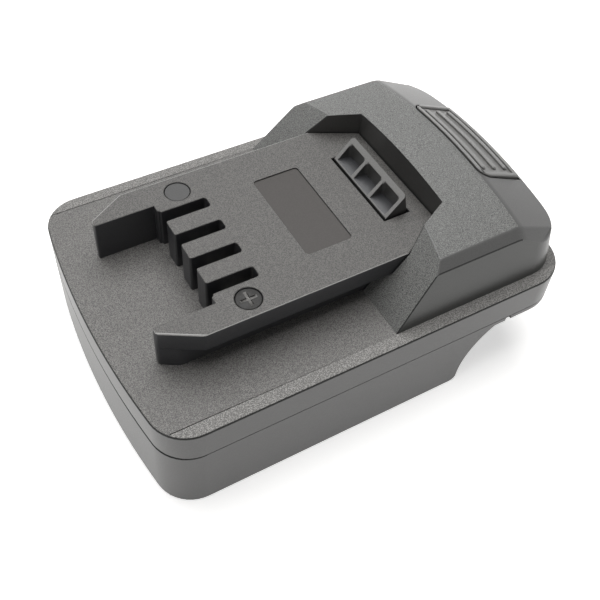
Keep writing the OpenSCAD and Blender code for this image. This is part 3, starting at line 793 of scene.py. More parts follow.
@dataclass(frozen=True)
class Screw:
    """Cross-head screw with a rolled thread, in millimetres.

    Attributes:
        head_d: diameter of the head.
        head_h: height of the head.
        shank_d: diameter over the thread.
        pitch: pitch of the thread.
        thread: depth of the thread.
        arm: half width of the cross's arms.
        arm_reach: length of an arm from the middle, as a share of the head's diameter.
        arm_depth: depth of the cross.
    """

    head_d: float
    head_h: float
    shank_d: float
    pitch: float = 1.0
    thread: float = 0.3
    arm: float = 0.45
    arm_reach: float = 0.34
    arm_depth: float = 1.1
    # Points around the axis, and rows for each turn of the thread.
    STEPS = 32
    ROWS = 4
    # Radius of the tip, length of the point and its first share of the core's radius.
    TIP = 0.05
    POINT = 1.4
    BLUNT = 0.35
    # Lengths over which the thread starts and ends, and how steep its flanks are.
    RUN_IN = 1.2
    RUN_OUT = 0.6
    FLANK = 3.0
    # Rounding of the head's top and of its underside.
    CROWN = 0.25
    UNDER = 0.1
    # Taper of the cross down its depth, and radius of its floor.
    DRAFT = 0.8
    FLOOR = 0.12

    def loop(self, centre: Vector, z: float, radius: Callable[[float], float]) -> list[Vector]:
        """Gives a loop around the screw's axis.

        Args:
            centre: any point of the axis.
            z: height of the loop.
            radius: gives the radius at an angle in radians.

        Returns:
            The points of the loop.
        """
        angles = [math.tau * step / self.STEPS for step in range(self.STEPS)]
        return [Vector((centre.x + radius(angle) * math.cos(angle),
                        centre.y + radius(angle) * math.sin(angle), z)) for angle in angles]

    def cross(self, angle: float) -> float:
        """Draws the outline of the cross.

        Args:
            angle: angle in radians.

        Returns:
            The radius at that angle.
        """
        turn = abs((angle + math.pi / 4) % (math.pi / 2) - math.pi / 4)
        return min(self.head_d * self.arm_reach, self.arm / max(math.sin(turn), 1e-6))

    def shank(self, angle: float, depth: float, length: float, up: float) -> float:
        """Draws the outline of the thread.

        Args:
            angle: angle in radians.
            depth: distance from the tip.
            length: length of the shank.
            up: 1 where the head is on top, -1 where it is underneath.

        Returns:
            The radius at that angle and depth.
        """
        core = (self.shank_d / 2 - self.thread) * min(1.0, self.BLUNT + depth / self.POINT)
        taper = min(1.0, depth / self.RUN_IN) * min(1.0, (length - depth) / self.RUN_OUT)
        phase = (depth / self.pitch - up * angle / math.tau) % 1.0
        return core + self.thread * max(0.0, 1.0 - abs(phase - 0.5) * self.FLANK) * taper

    def build(self, shape: Shape, box: Box, up: float) -> None:
        """Adds the screw to a shape.

        Args:
            shape: shape to add to.
            box: lowest and highest corners of the CAD screw.
            up: 1 where the head is on top, -1 where it is underneath.
        """
        low, high = box
        centre = (low + high) / 2
        top, tip = (high.z, low.z) if up > 0 else (low.z, high.z)
        seat = top - up * self.head_h
        core = self.shank_d / 2 - self.thread
        length = abs(seat - tip)
        rows = int(length / (self.pitch / self.ROWS))
        loops = [self.loop(centre, tip, lambda angle: self.TIP)]
        for row in range(1, rows):
            depth = length * row / rows
            loops.append(self.loop(centre, tip + up * depth,
                                   lambda angle: self.shank(angle, depth, length, up)))
        head, full, crown, under = self.head_d / 2, self.head_h, self.CROWN, self.UNDER
        for size, drop in ((core, 0.0), (head - under, 0.0), (head, under), (head, full - crown),
                           (head - crown * 0.4, full - crown * 0.35), (head - crown * 1.3, full)):
            loops.append(self.loop(centre, seat + up * drop, lambda angle, size=size: size))
        deep = up * self.arm_depth
        shape.skin([*loops, self.loop(centre, top, self.cross),
                    self.loop(centre, top - deep * self.DRAFT, lambda angle: self.DRAFT * self.cross(angle)),
                    self.loop(centre, top - deep, lambda angle: self.FLOOR)], tail=2)


@dataclass(frozen=True)
class CoilSpring:
    """Compression spring with closed ends, in millimetres.

    Attributes:
        wire: diameter of the wire.
        turns: number of turns, the two closed ones too.
        sides: points around the wire.
        steps: loops for each turn.
        closing: pitch of the closed turns, as a share of the wire's diameter.
    """

    wire: float = 0.7
    turns: int = 7
    sides: int = 10
    steps: int = 28
    closing: float = 1.05

    def build(self, shape: Shape, box: Box) -> None:
        """Adds the spring to a shape.

        Args:
            shape: shape to add to.
            box: lowest and highest corners of the CAD spring.
        """
        low, high = box
        centre = (low + high) / 2
        middle = (high.x - low.x - self.wire) / 2
        closed = self.wire * self.closing
        pitch = (high.z - low.z - self.wire - 2 * closed) / (self.turns - 2)
        angles = [math.tau * side / self.sides for side in range(self.sides)]
        loops = []
        for step in range(self.turns * self.steps + 1):
            turn = step / self.steps
            rise = closed * min(turn, 1.0) + pitch * min(max(turn - 1.0, 0.0), self.turns - 2.0)
            rise += closed * max(turn - (self.turns - 1.0), 0.0)
            ray = Vector((math.cos(math.tau * turn), math.sin(math.tau * turn), 0.0))
            heart = Vector((centre.x, centre.y, low.z + self.wire / 2 + rise)) + ray * middle
            loops.append([heart + self.wire / 2 * (math.cos(angle) * ray + Vector((0, 0, math.sin(angle))))
                          for angle in angles])
        shape.skin(loops)


@dataclass
class SubAssembly:
    """Pieces that belong together.

    Attributes:
        finishes: materials of the surfaces.
        pieces: what has been made so far.
    """

    finishes: dict[Surface, bpy.types.Material]
    pieces: list[bpy.types.Object] = field(default_factory=list)

    def place(self, piece: bpy.types.Object, node: str, slot: str, palette: Sequence[Surface],
              body: Body = Body.HOUSING) -> None:
        """Dresses a piece and ties it to the CAD model.

        Args:
            piece: object in place.
            node: CAD node that it stands for.
            slot: material slot of the record; not used.
            palette: its surfaces, in the order of its material places.
            body: rigid body that it rides on.
        """
        slots = piece.data.materials
        for place, surface in enumerate(palette):
            if place == len(slots):
                slots.append(None)
            slots[place] = self.finishes[surface]
        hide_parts(node)
        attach(piece, body.value)
        self.pieces.append(piece)
        log.info("%s stands for %s on %s", piece.name, node, body.value)

    def carry(self, node: str, slot: str, surface: Surface, radius: float) -> None:
        """Makes a piece in the shape of its CAD node, with all its outer edges rounded alike.

        Args:
            node: name of the CAD node.
            slot: material slot of the record.
            surface: its surface.
            radius: radius of its edges in millimetres.
        """
        piece = Moulding(node).finish(f"{node}_skin", lambda edge: radius if edge.convex else 0.0,
                                      lambda face: surface, radius)
        self.place(piece, node, slot, [surface])

    def assemble(self, node: str, ending: str, slot: str, palette: Sequence[Surface],
                 maker: Callable[[Shape, Box], None]) -> None:
        """Makes a piece with a new part for each solid of its CAD node.

        Args:
            node: name of the CAD node.
            ending: end of the piece's name.
            slot: material slot of the record.
            palette: surfaces of the parts.
            maker: adds one part within its box.
        """
        shape = Shape()
        for box in solid_boxes(node):
            maker(shape, box)
        self.place(shape.finish(f"{node}_{ending}"), node, slot, palette)

    def turn_screws(self, node: str, screw: Screw, up: float) -> None:
        """Makes the screws of a CAD node, heads on top where up is 1 and underneath where it is -1."""
        self.assemble(node, "threaded", "screw_steel", (Surface.BLACK_STEEL, Surface.WORN_STEEL),
                      lambda shape, box: screw.build(shape, box, up))


@dataclass
class Housing(SubAssembly):
    """Upper and lower shell and the screws that join them, in millimetres.

    Attributes:
        tray_round: radius of the tray's top edge.
        tray_shade_rise: upward part of the normal up to which the tray's rounding gets painted shade.
        rim_width: width of the lighter rim along the tray's sides, where light is painted into the grain.
        seam_round: radius of the upper shell's edge along the seam.
        seam_dark: how far the painted shade along the seam reaches down and up.
        gape: largest radius that both shells' edges gain where they gape at the nose.
        gape_reach: half length of the gape along the nose.
        gape_edge: distance from the housing's side to the middle of the gape.
        top_level: upward part of the normal from which a face lies level.
        hump_foot: height over the tray from which faces belong to the hump.
        hump_round: radius of the hump's upper edges.
        hump_shade_rise: upward part of the normal up to which the hump's rounding gets painted shade.
        slope_lean: forward part of the normal from which a face belongs to the hump's front slope.
        side_round: radius of the edges where the hump's sides start.
        side_tilt: upward part of an edge's direction below which it is one of those.
        side_steep: upward part of the normal below which a face is one of the hump's sides.
        inner_round: radius of the recess's edges and of the lower rim.
        opening_round: radius of the edges around the button.
        opening_half: half width of the part of the end wall that the button works behind.
        crease: distance from the button end to the crease where the band starts.
        crease_reach: half length of the crease's rounding.
        crease_floor: height over the tray from which faces take part in it.
        band_slope: fall of the band, as height over length.
        screw: size of the screws.
        low: lowest corner of the upper shell.
        high: highest corner of the upper shell.
        seam: height of the seam.
        tray: height of the tray's top.
        band_start: place of the crease along the housing.
    """

    tray_round: float = 0.5
    tray_shade_rise: float = 0.85
    rim_width: float = 3.4
    seam_round: float = 0.18
    seam_dark: tuple[float, float] = (1.0, 0.5)
    gape: float = 0.75
    gape_reach: float = 26.0
    gape_edge: float = 12.0
    top_level: float = 0.94
    hump_foot: float = 1.0
    hump_round: float = 0.4
    hump_shade_rise: float = 0.66
    slope_lean: float = 0.6
    side_round: float = 0.22
    side_tilt: float = 0.7
    side_steep: float = 0.4
    inner_round: float = 0.2
    opening_round: float = 0.12
    opening_half: float = 16.2
    crease: float = 17.75
    crease_reach: float = 1.6
    crease_floor: float = 8.0
    band_slope: float = math.tan(math.radians(25.5))
    screw: Screw = Screw(head_d=5.2, head_h=2.0, shank_d=2.6)
    low: Vector = field(init=False)
    high: Vector = field(init=False)
    seam: float = field(init=False)
    tray: float = field(init=False)
    band_start: float = field(init=False)

    def build(self) -> None:
        """Makes the shells and their screws."""
        self.low, self.high = box_mm("upper_shell")
        self.seam = self.low.z
        self.tray = box_mm("contact_carrier")[1].z
        self.band_start = self.high.x - self.crease
        upper = Moulding("upper_shell")
        upper.soften(self.band_start, self.crease_reach, self.band_slope, self.tray + self.crease_floor)
        # The rims cut off here get a lighter grain: painted light.
        for y in (self.low.y + self.rim_width, self.high.y - self.rim_width):
            upper.part_off(y, self.tray)
        self.place(upper.finish("upper_shell_skin", self.upper_round, self.upper_texture,
                                self.seam_round + self.gape, self.upper_edge),
                   "upper_shell", "shell_plastic", upper.palette)
        lower = Moulding("lower_shell")
        self.place(lower.finish("lower_shell_skin", self.lower_round, lambda face: Surface.SATIN,
                                self.gape, self.lower_edge),
                   "lower_shell", "shell_plastic", lower.palette)
        self.turn_screws("housing_screws", self.screw, -1.0)

    def gape_at(self, mid: Vector) -> float:
        """Tells how much the edges along the seam are opened at a place, which is only near the nose.

        Args:
            mid: the place.

        Returns:
            What the radius of the edges gains.
        """
        ahead = 2 * (mid.x - self.low.x)
        aside = abs(mid.y) - self.high.y + self.gape_edge
        return self.gape * max(0.0, 1.0 - math.hypot(ahead, aside) / self.gape_reach)

    def upper_round(self, edge: EdgeView) -> float:
        """Rounds the edges of the upper shell.

        Args:
            edge: one of its edges.

        Returns:
            The radius of the edge.
        """
        mid = edge.mid
        if not edge.convex or (mid.z < self.tray - NEAR and not edge.outward):
            return 0.0
        if mid.z < self.seam + NEAR:
            return self.seam_round + self.gape_at(mid)
        if mid.z < self.tray + NEAR:
            return self.tray_round
        if mid.x > self.band_start - self.crease_reach and abs(mid.y) < self.opening_half:
            return self.opening_round
        if not edge.outward:
            return self.inner_round
        return self.side_round if edge.out.z < self.side_tilt else self.hump_round

    def upper_texture(self, face: FaceView) -> Surface:
        """Textures the upper shell.

        Args:
            face: one of its faces.

        Returns:
            The surface of the face.
        """
        on_hump = face.mid.z > self.tray + self.hump_foot
        # The hump's steep outer sides get a darker satin: painted shade.
        if on_hump and face.outward and abs(face.normal.z) < self.side_steep:
            return Surface.SHADED_HUMP_SATIN
        if face.mid.z < self.tray - NEAR or (on_hump and face.mid.x > self.band_start):
            return Surface.SATIN
        level = face.normal.z > self.top_level
        if level and not on_hump:
            # The rims get a lighter grain: painted light.
            on_rim = abs(face.mid.y) > self.high.y - self.rim_width
            return Surface.LIT_RIM_GRAIN if on_rim else Surface.GRAINED
        on_slope = face.normal.x < -self.slope_lean and face.normal.z > self.side_steep
        return Surface.HUMP_GRAIN if level or on_slope else Surface.SATIN

    def upper_edge(self, face: FaceView) -> Surface:
        """Textures the roundings of the upper shell, which get painted shade at the seam and where they turn
        partly up.

        Args:
            face: a face of a rounding.

        Returns:
            The surface of the face.
        """
        # Nearly black finish on these roundings: painted shade in the seam and on edges turned partly up.
        if face.mid.z < self.seam + self.seam_dark[1]:
            return Surface.SHADED_EDGE
        if face.mid.z < self.tray + self.hump_foot:
            in_painted_shade = TURNED < face.normal.z < self.tray_shade_rise
        else:
            in_painted_shade = TURNED < face.normal.z < self.hump_shade_rise and face.mid.x < self.band_start
        return Surface.SHADED_EDGE if in_painted_shade else self.upper_texture(face)

    def lower_edge(self, face: FaceView) -> Surface:
        """Textures the roundings of the lower shell, which get painted shade along the seam."""
        return Surface.SHADED_EDGE if face.mid.z > self.seam - self.seam_dark[0] else Surface.SATIN

    def lower_round(self, edge: EdgeView) -> float:
        """Rounds the edges of the lower shell.

        Args:
            edge: one of its edges.

        Returns:
            The radius of the edge.
        """
        if not edge.convex or edge.mid.z > self.seam + NEAR:
            return 0.0
        if edge.mid.z > self.seam - NEAR:
            return self.gape_at(edge.mid) if edge.outward else 0.0
        return self.inner_round if edge.mid.z < self.seam - 2 * self.inner_round else 0.0


@dataclass
class RailDeck(SubAssembly):
    """Deck with the two rails, its screws and the plug, in millimetres.

    Attributes:
        edge_round: radius of the deck's top edges.
        lower_round: radius of its other edges.
        finger_round: radius of the upright edges at the fronts of the fingers.
        tip_round: radius of the upright edges at the rail tips.
        label_round: radius of the label recess's edges.
        finger_back: distance from the rail tips to the fronts of the fingers.
        label_start: distance from the rail tips to the label recess.
        label_size: length and width of the label recess.
        label_depth: depth down to which places belong to the label recess.
        plug_round: radius of the plug's edges.
        screw: size of the screws.
        low: lowest corner of the deck.
        high: highest corner of the deck.
    """

    edge_round: float = 0.3
    lower_round: float = 0.21
    finger_round: float = 0.7
    tip_round: float = 0.5
    label_round: float = 0.06
    finger_back: float = 15.5
    label_start: float = 40.0
    label_size: tuple[float, float] = (12.5, 27.2)
    label_depth: float = 0.6
    plug_round: float = 0.2
    screw: Screw = Screw(head_d=6.2, head_h=2.0, shank_d=2.6, arm=0.42, arm_depth=0.4)
    low: Vector = field(init=False)
    high: Vector = field(init=False)

    def build(self) -> None:
        """Makes the deck, its screws and the plug."""
        self.low, self.high = box_mm("rail_deck")
        deck = Moulding("rail_deck")
        self.place(deck.finish("rail_deck_skin", self.deck_round, self.deck_texture, self.finger_round,
                               self.deck_edge), "rail_deck", "deck_plastic", deck.palette)
        self.turn_screws("deck_screws", self.screw, 1.0)
        self.carry("screw_plug", "deck_plastic", Surface.PLUG, self.plug_round)

    def on_label(self, place: Vector) -> bool:
        """Tells whether a place lies in the label recess.

        Args:
            place: the place.

        Returns:
            Whether it does.
        """
        start = self.low.x + self.label_start
        length, width = self.label_size
        return (start - NEAR < place.x < start + length + NEAR and abs(place.y) < width / 2 + NEAR
                and place.z > self.high.z - self.label_depth)

    def deck_round(self, edge: EdgeView) -> float:
        """Rounds the edges of the deck.

        Args:
            edge: one of its edges.

        Returns:
            The radius of the edge.
        """
        mid = edge.mid
        front = self.low.x + self.finger_back
        if self.on_label(mid):
            return self.label_round if edge.convex else 0.0
        if not edge.convex or (mid.z < self.low.z + NEAR and not edge.outward):
            return 0.0
        if edge.upright and mid.x < front + NEAR:
            return self.finger_round if mid.x > front - NEAR else self.tip_round
        return self.edge_round if mid.z > self.high.z - NEAR else self.lower_round

    def deck_texture(self, face: FaceView) -> Surface:
        """Textures the deck.

        Args:
            face: one of its faces.

        Returns:
            The surface of the face.
        """
        # Walls and lower faces of the deck get a darker satin: painted shade.
        if face.normal.z < ALIGNED:
            return Surface.SHADED_SATIN
        if face.mid.z > self.high.z - NEAR:
            return Surface.FINE_GRAIN
        return Surface.LABEL if self.on_label(face.mid) else Surface.SHADED_SATIN

    def deck_edge(self, face: FaceView) -> Surface:
        """Textures the roundings of the deck, which get a painted highlight on top of the rails.

        Args:
            face: a face of a rounding.

        Returns:
            The surface of the face.
        """
        if self.on_label(face.mid) or face.mid.z < self.high.z - 2 * self.edge_round:
            return self.deck_texture(face)
        on_rail = abs(face.mid.y) > self.high.y - 2 * self.edge_round
        on_tip = face.mid.x < self.low.x + self.finger_back / 2 and face.mid.y * face.normal.y > 0
        # These top roundings get a light finish: painted highlight.
        if face.normal.z > TURNED and (on_rail or on_tip):
            return Surface.HIGHLIGHT_EDGE
        return Surface.FINE_GRAIN if face.normal.z > FACING else Surface.SHADED_SATIN


@dataclass
class ReleaseLatch(SubAssembly):
    """Slider with the latch tooth and the thumb button, and its springs, in millimetres.

    Attributes:
        tooth_round: radius of the edges of the tooth's pockets.
        pocket_round: radius of the upright corners in the tooth's pockets.
        tooth_corner: radius of the tooth's back corners.
        button_round: radius of the button's frame and ribs.
        tooth_end: place along the housing that the tooth ends before.
        tooth_half: half width of the tooth within its outer ribs.
        tooth_lean: upward part of the normal from which a face belongs to the tooth's ramp.
        spring: size of the springs.
        spring_keep: share of a spring's height that is left when the button is pressed; not used.
        deck: height of the deck's top.
    """

    tooth_round: float = 0.16
    pocket_round: float = 0.9
    tooth_corner: float = 0.6
    button_round: float = 0.4
    tooth_end: float = 24.0
    tooth_half: float = 11.5
    tooth_lean: float = 0.3
    spring: CoilSpring = CoilSpring()
    spring_keep: float = 0.526
    deck: float = field(init=False)

    def build(self) -> None:
        """Makes the slider and the springs."""
        self.deck = box_mm("rail_deck")[1].z
        slider = Moulding("release_slider")
        self.place(slider.finish("release_slider_skin", self.slider_round, self.slider_texture,
                                 self.pocket_round),
                   "release_slider", "slider_plastic", slider.palette, Body.RELEASE)
        for node in ("latch_spring_left", "latch_spring_right"):
            shape = Shape()
            box = box_mm(node)
            self.spring.build(shape, box)
            coil = shape.finish(f"{node}_coil")
            self.place(coil, node, "spring_steel", [Surface.BRIGHT_STEEL])
            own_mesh(coil)

    def slider_round(self, edge: EdgeView) -> float:
        """Rounds the edges of the slider.

        Args:
            edge: one of its edges.

        Returns:
            The radius of the edge.
        """
        if edge.mid.x > self.tooth_end or edge.mid.z < self.deck:
            return self.button_round if edge.convex and edge.mid.x > self.tooth_end else 0.0
        if not edge.convex:
            return self.pocket_round if edge.upright else 0.0
        if abs(edge.along.y) < TURNED and edge.out.x > TURNED:
            return self.tooth_corner
        return self.tooth_round if abs(edge.mid.y) < self.tooth_half and edge.out.z < ALIGNED else 0.0

    def slider_texture(self, face: FaceView) -> Surface:
        """Textures the slider.

        Args:
            face: one of its faces.

        Returns:
            The surface of the face.
        """
        # The button and the tooth's ramp get a lighter satin: painted light.
        if face.mid.x > self.tooth_end or self.tooth_lean < face.normal.z < ALIGNED:
            return Surface.LIT_GRIP
        # The slider's upward faces get a darker satin: painted shade.
        return Surface.SHADED_SATIN if face.normal.z > FACING else Surface.SATIN


@dataclass
class Contacts(SubAssembly):
    """Contacts for the tool and for the battery, and the circuit board between them, in millimetres.

    Attributes:
        cap_share: share of a chip part's length that each metal cap takes.
        lead_w: width of a lead.
        lead_t: thickness of a lead.
        overlap: how far a body and its leads or its tab reach into each other.
        tab: length of a transistor's cooling tab beyond its body.
        leg: length of a transistor's leads.
        leg_pitch: distance between them.
        chip_lead: length of a chip's leads.
        chip_leads: number of leads on each side of a chip.
        screw: size of the blade holder's screws.
    """

    cap_share: float = 0.2
    lead_w: float = 0.5
    lead_t: float = 0.25
    overlap: float = 0.2
    tab: float = 1.1
    leg: float = 1.6
    leg_pitch: float = 2.3
    chip_lead: float = 0.7
    chip_leads: int = 4
    screw: Screw = Screw(head_d=3.8, head_h=0.8, shank_d=2.0, pitch=0.8, thread=0.25, arm=0.3,
                         arm_depth=0.45)

    def build(self) -> None:
        """Makes the contacts, the board and what stands on it."""
        for node, radius in (("contact_carrier", 0.1), ("blade_holder", 0.3)):
            self.carry(node, "insulator_plastic", Surface.INSULATOR, radius)
        self.turn_screws("holder_screws", self.screw, -1.0)
        clips = [(f"contact_clip_{place}", 0.08) for place in (1, 2, 3, 4)]
        blades = [(f"{kind}_blade_{side}", 0.15)
                  for kind in ("power", "signal") for side in ("left", "right")]
        for node, radius in clips + blades:
            self.carry(node, "contact_metal", Surface.CONTACT, radius)
        self.carry("circuit_board", "board_laminate", Surface.LAMINATE, radius=0.05)
        for node, slot, surface, maker in (
                ("power_transistors", "chip_plastic", Surface.INSULATOR, self.add_transistor),
                ("control_chip", "chip_plastic", Surface.INSULATOR, self.add_chip),
                ("chip_resistors", "chip_plastic", Surface.INSULATOR, self.add_capped),
                ("smoothing_capacitors", "capacitor_body", Surface.CAPACITOR, self.add_capped)):
            self.assemble(node, "parts", slot, (surface, Surface.TINNED), maker)

    def add_capped(self, shape: Shape, box: Box) -> None:
        """Adds a chip part with a metal cap at each end.

        Args:
            shape: shape to add to.
            box: lowest and highest corners of the part.
        """
        low, high = box
        core_round, cap_round, bare, proud = 0.06, 0.1, 0.8, 0.05
        cap = (high.x - low.x) * self.cap_share
        inset = Vector((cap * bare, proud, proud))
        shape.box(low + inset, high - inset, core_round)
        shape.box(low, Vector((low.x + cap, high.y, high.z)), cap_round, 1)
        shape.box(Vector((high.x - cap, low.y, low.z)), high, cap_round, 1)

    def add_leads(self, shape: Shape, low: Vector, high: Vector, places: Iterable[float],
                  flat: float) -> None:
        """Adds bent leads that reach from a body to the board.

        Args:
            shape: shape to add to.
            low: lowest corner of the strip that the leads fill.
            high: highest corner of the strip.
            places: middles of the leads across the strip.
            flat: place along the strip where the leads bend down.
        """
        half, thick, radius = self.lead_w / 2, self.lead_t, 0.05
        for place in places:
            near, far = place - half, place + half
            shape.box(Vector((low.x, near, high.z - thick)), Vector((high.x, far, high.z)), radius, 1)
            shape.box(Vector((flat, near, low.z)), Vector((flat + thick, far, high.z)), radius, 1)

    def add_transistor(self, shape: Shape, box: Box) -> None:
        """Adds a power transistor with its cooling tab and three leads.

        Args:
            shape: shape to add to.
            box: lowest and highest corners of the transistor.
        """
        low, high = box
        body_round, lift, tab_round, tab_back, tab_t, rise = 0.2, 0.15, 0.1, 0.5, 0.4, 1.0
        body = low.x + self.tab - self.overlap
        legs = high.x - self.leg
        shape.box(Vector((body, low.y, low.z + lift)), Vector((legs, high.y, high.z)), body_round)
        shape.box(low, Vector((legs - tab_back, high.y, low.z + tab_t)), tab_round, 1)
        middle = (low.y + high.y) / 2
        self.add_leads(shape, Vector((legs - self.overlap, 0, low.z)), Vector((high.x, 0, low.z + rise)),
                       [middle + step * self.leg_pitch for step in (-1, 0, 1)], high.x - self.lead_t)

    def add_chip(self, shape: Shape, box: Box) -> None:
        """Adds a chip with leads on both sides and a dot by its first lead.

        Args:
            shape: shape to add to.
            box: lowest and highest corners of the chip with its leads.
        """
        low, high = box
        body_round, lift, dot_round, inset, sink, rise = 0.12, 0.1, 0.1, 0.6, 0.04, 0.8
        start, end = low.x + self.chip_lead, high.x - self.chip_lead
        shape.box(Vector((start, low.y, low.z + lift)), Vector((end, high.y, high.z)), body_round)
        dot = Vector((start + inset, low.y + inset, high.z - sink))
        shape.box(dot - Vector((0.2, 0.2, 0.1)), dot + Vector((0.2, 0.2, sink)), dot_round, 1)
        pitch = (high.y - low.y) / self.chip_leads
        places = [low.y + pitch * (step + 0.5) for step in range(self.chip_leads)]
        top = low.z + rise
        self.add_leads(shape, low, Vector((start + self.overlap, 0, top)), places, low.x)
        self.add_leads(shape, Vector((end - self.overlap, 0, low.z)), Vector((high.x, 0, top)), places,
                       high.x - self.lead_t)


@dataclass
class Studio:
    """Camera, lamp, world and floor.

    Attributes:
        azimuth: where the camera stands, in degrees from the -Y side towards +X.
        elevation: its height over the floor, in degrees.
        roll: its turn about the line of sight, in degrees.
        eye: its place in millimetres.
        lens: its focal length for a sensor 36 mm wide.
        nearest: distance from which it sees, in metres.
        floor_size: side of the floor in metres.
        floor_tone: colour of the floor, linear.
        floor_rough: roughness of the floor.
        floor_specular: strength of its mirror-like reflection.
        floor_lift: white that the camera and reflections see on the floor around the adapter.
        far_lift: white that they see on the floor far from the adapter, where the lamp is weak.
        far_span: distances between which the floor goes from one to the other, in metres.
        sky: strength overhead of the light that the world sheds.
        horizon: strength at the horizon of the light that the world sheds.
        horizon_top: height on a sphere of 1 where the light from the horizon ends.
        lamp_place: place of the lamp in millimetres.
        lamp_size: side of the lamp in millimetres.
        lamp_power: power of the lamp in watts.
    """

    azimuth: float = -33.340
    elevation: float = 50.832
    roll: float = 4.828
    eye: Triple = (-81.64, -124.84, 186.96)
    lens: float = 51.668
    nearest: float = 0.01
    floor_size: float = 4.0
    floor_tone: Triple = (0.9, 0.89, 0.875)
    floor_rough: float = 0.9
    floor_specular: float = 0.1
    floor_lift: float = 0.56
    far_lift: float = 1.06
    far_span: tuple[float, float] = (0.2, 0.7)
    sky: float = 0.04
    horizon: float = 0.78
    horizon_top: float = 0.5
    lamp_place: Triple = (40.0, 220.0, 760.0)
    lamp_size: float = 900.0
    lamp_power: float = 9.0

    def build(self) -> None:
        """Sets the stage."""
        self.build_camera()
        self.build_world()
        self.build_floor()
        self.build_lamp()
        bpy.context.scene.view_settings.view_transform = "Standard"

    def build_camera(self) -> None:
        """Puts the camera where the photograph was taken."""
        turns = ((self.azimuth, "Z"), (90.0 - self.elevation, "X"), (self.roll, "Z"))
        pose = Matrix.Translation(Vector(self.eye) * MM)
        for angle, axis in turns:
            pose = pose @ Matrix.Rotation(math.radians(angle), 4, axis)
        data = bpy.data.cameras.new("camera")
        data.lens = self.lens
        data.clip_start = self.nearest
        camera = bpy.data.objects.new("camera", data)
        camera.matrix_world = pose
        bpy.context.collection.objects.link(camera)
        bpy.context.scene.camera = camera

    @staticmethod
    def seen(graph: Graph) -> Socket:
        """Gives 1 for what the camera, mirrors and glass see, and 0 for what lights other surfaces.

        Args:
            graph: graph to add to.

        Returns:
            The number.
        """
        path = graph.add("ShaderNodeLightPath").outputs
        return graph.math("MAXIMUM", path["Is Camera Ray"],
                          graph.math("MAXIMUM", path["Is Glossy Ray"], path["Is Transmission Ray"]))

    def build_world(self) -> None:
        """Makes a world that is white to the camera and in reflections, and lights softly."""
        world = bpy.data.worlds.new("studio")
        world.use_nodes = True
        bpy.context.scene.world = world
        graph = Graph(world.node_tree)
        height = graph.rise(graph.add("ShaderNodeTexCoord").outputs["Generated"])
        shed = graph.span(graph.ramp(height, 0.0, self.horizon_top), self.horizon, self.sky)
        graph.fill(graph.find("BACKGROUND"),
                   {"Color": WHITE, "Strength": graph.span(self.seen(graph), shed, 1.0)})

    def build_floor(self) -> None:
        """Lays a plain white floor."""
        mesh = bmesh.new()
        bmesh.ops.create_grid(mesh, x_segments=1, y_segments=1, size=self.floor_size / 2)
        floor = new_object("floor", mesh)
        material = bpy.data.materials.new("floor_white")
        material.use_nodes = True
        graph = Graph(material.node_tree)
        reach = graph.add("ShaderNodeVectorMath", operation="LENGTH")
        graph.feed(reach.inputs[0], graph.add("ShaderNodeTexCoord").outputs["Object"])
        near = colour(*[self.floor_lift / self.far_lift] * 3)
        lift = graph.blend(graph.ramp(reach.outputs["Value"], *self.far_span), near, WHITE)
        graph.fill(graph.find("BSDF_PRINCIPLED"),
                   {"Base Color": colour(*self.floor_tone), "Roughness": self.floor_rough,
                    "Specular IOR Level": self.floor_specular, "Emission Strength": self.far_lift,
                    "Emission Color": graph.blend(self.seen(graph), BLACK, lift)})
        floor.data.materials.append(material)

    def build_lamp(self) -> None:
        """Hangs a soft lamp that faces the adapter."""
        data = bpy.data.lights.new("softbox", "AREA")
        data.shape = "SQUARE"
        data.size = self.lamp_size * MM
        data.energy = self.lamp_power
        lamp = bpy.data.objects.new("softbox", data)
        lamp.location = Vector(self.lamp_place) * MM
        lamp.rotation_euler = (-lamp.location).to_track_quat("-Z", "Y").to_euler()
        bpy.context.collection.objects.link(lamp)


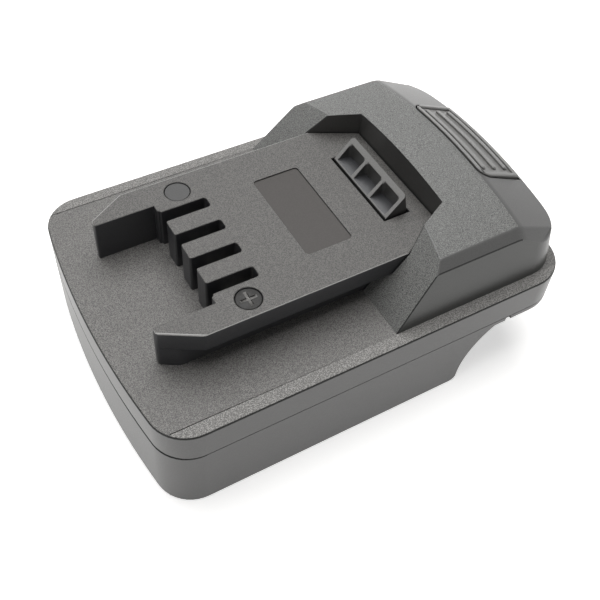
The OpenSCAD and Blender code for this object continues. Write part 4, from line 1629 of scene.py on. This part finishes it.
FINISHES = (
    Grained(Surface.GRAINED, (0.058, 0.0562, 0.0535), (0.211, 0.204, 0.1943), 0.34, 0.5,
            grain_size=0.18, grain_depth=0.055),
    # Painted light: lighter grain on the tray's side rims.
    Grained(Surface.LIT_RIM_GRAIN, (0.092, 0.0893, 0.0853), (0.305, 0.2965, 0.283), 0.34, 0.5,
            grain_size=0.25, grain_depth=0.08),
    Grained(Surface.HUMP_GRAIN, (0.06, 0.0608, 0.0583), (0.214, 0.216, 0.2075), 0.38, 0.52,
            grain_size=0.18, grain_depth=0.045),
    Grained(Surface.FINE_GRAIN, (0.04, 0.0385, 0.0365), (0.13, 0.125, 0.118), 0.42, 0.54,
            grain_size=0.18, grain_depth=0.04),
    Satin(Surface.SATIN, (0.043, 0.0424, 0.0409), (0.053, 0.0522, 0.0504), 0.28, 0.38, specular=0.75),
    # Painted shade: darker copy of the satin for the hump's outer sides.
    Satin(Surface.SHADED_HUMP_SATIN, (0.031, 0.0318, 0.0296), (0.038, 0.039, 0.0365), 0.28, 0.38, specular=0.65),
    # Painted shade: darker, bluish satin for the deck's walls and the slider's upward faces.
    Satin(Surface.SHADED_SATIN, (0.027, 0.0275, 0.0305), (0.034, 0.0345, 0.0375), 0.3, 0.4),
    # Painted shade: nearly black roundings along the seam and on edges that turn partly up.
    Finish(Surface.SHADED_EDGE, (0.017, 0.017, 0.0165), (0.022, 0.022, 0.0215), 0.4, 0.5, specular=0.25),
    # Painted highlight: light roundings along the top edges of the rails.
    Satin(Surface.HIGHLIGHT_EDGE, (0.3, 0.295, 0.287), (0.34, 0.334, 0.325), 0.28, 0.36),
    # Painted light: lighter satin for the tooth's ramp and the thumb button.
    Satin(Surface.LIT_GRIP, (0.18, 0.178, 0.173), (0.21, 0.207, 0.202), 0.3, 0.4),
    Satin(Surface.LABEL, (0.032, 0.0278, 0.0248), (0.039, 0.034, 0.0308), 0.42, 0.5,
          grain_size=0.3, grain_depth=0.004, specular=0.35),
    Satin(Surface.PLUG, (0.04, 0.04, 0.04), (0.05, 0.05, 0.049), 0.4, 0.5, grain_size=0.3, specular=0.4),
    Metal(Surface.BLACK_STEEL, (0.021, 0.0205, 0.0195), (0.03, 0.029, 0.028), 0.4, 0.5, metallic=0.0,
          worn=(0.08, 0.08, 0.08), specular=0.2),
    Metal(Surface.WORN_STEEL, (0.06, 0.058, 0.055), (0.085, 0.082, 0.078), 0.35, 0.5, metallic=0.4),
    Metal(Surface.BRIGHT_STEEL, (0.3, 0.3, 0.3), (0.42, 0.42, 0.42), 0.25, 0.4, worn=(0.6, 0.6, 0.6)),
    Metal(Surface.TINNED, (0.55, 0.55, 0.54), (0.68, 0.68, 0.66), 0.25, 0.4, worn=(0.75, 0.75, 0.75)),
    Finish(Surface.INSULATOR, (0.02, 0.02, 0.02), (0.03, 0.03, 0.03), 0.45, 0.6),
    Metal(Surface.CONTACT, (0.3, 0.28, 0.25), (0.4, 0.375, 0.34), 0.25, 0.4, worn=(0.5, 0.47, 0.43)),
    Finish(Surface.LAMINATE, (0.01, 0.09, 0.045), (0.015, 0.12, 0.06), 0.3, 0.4),
    Finish(Surface.CAPACITOR, (0.35, 0.24, 0.13), (0.42, 0.3, 0.17), 0.4, 0.5),
)


def main() -> None:
    """Builds the studio and the sub-assemblies."""
    logging.basicConfig(level=logging.INFO, format="%(message)s")
    Studio().build()
    groups = EffectGroups()
    finishes = {finish.surface: finish.build(groups) for finish in FINISHES}
    for kind in (Housing, RailDeck, ReleaseLatch, Contacts):
        assembly = kind(finishes)
        assembly.build()
        log.info("%s: %d pieces", kind.__name__, len(assembly.pieces))


if __name__ == "__main__":
    main()
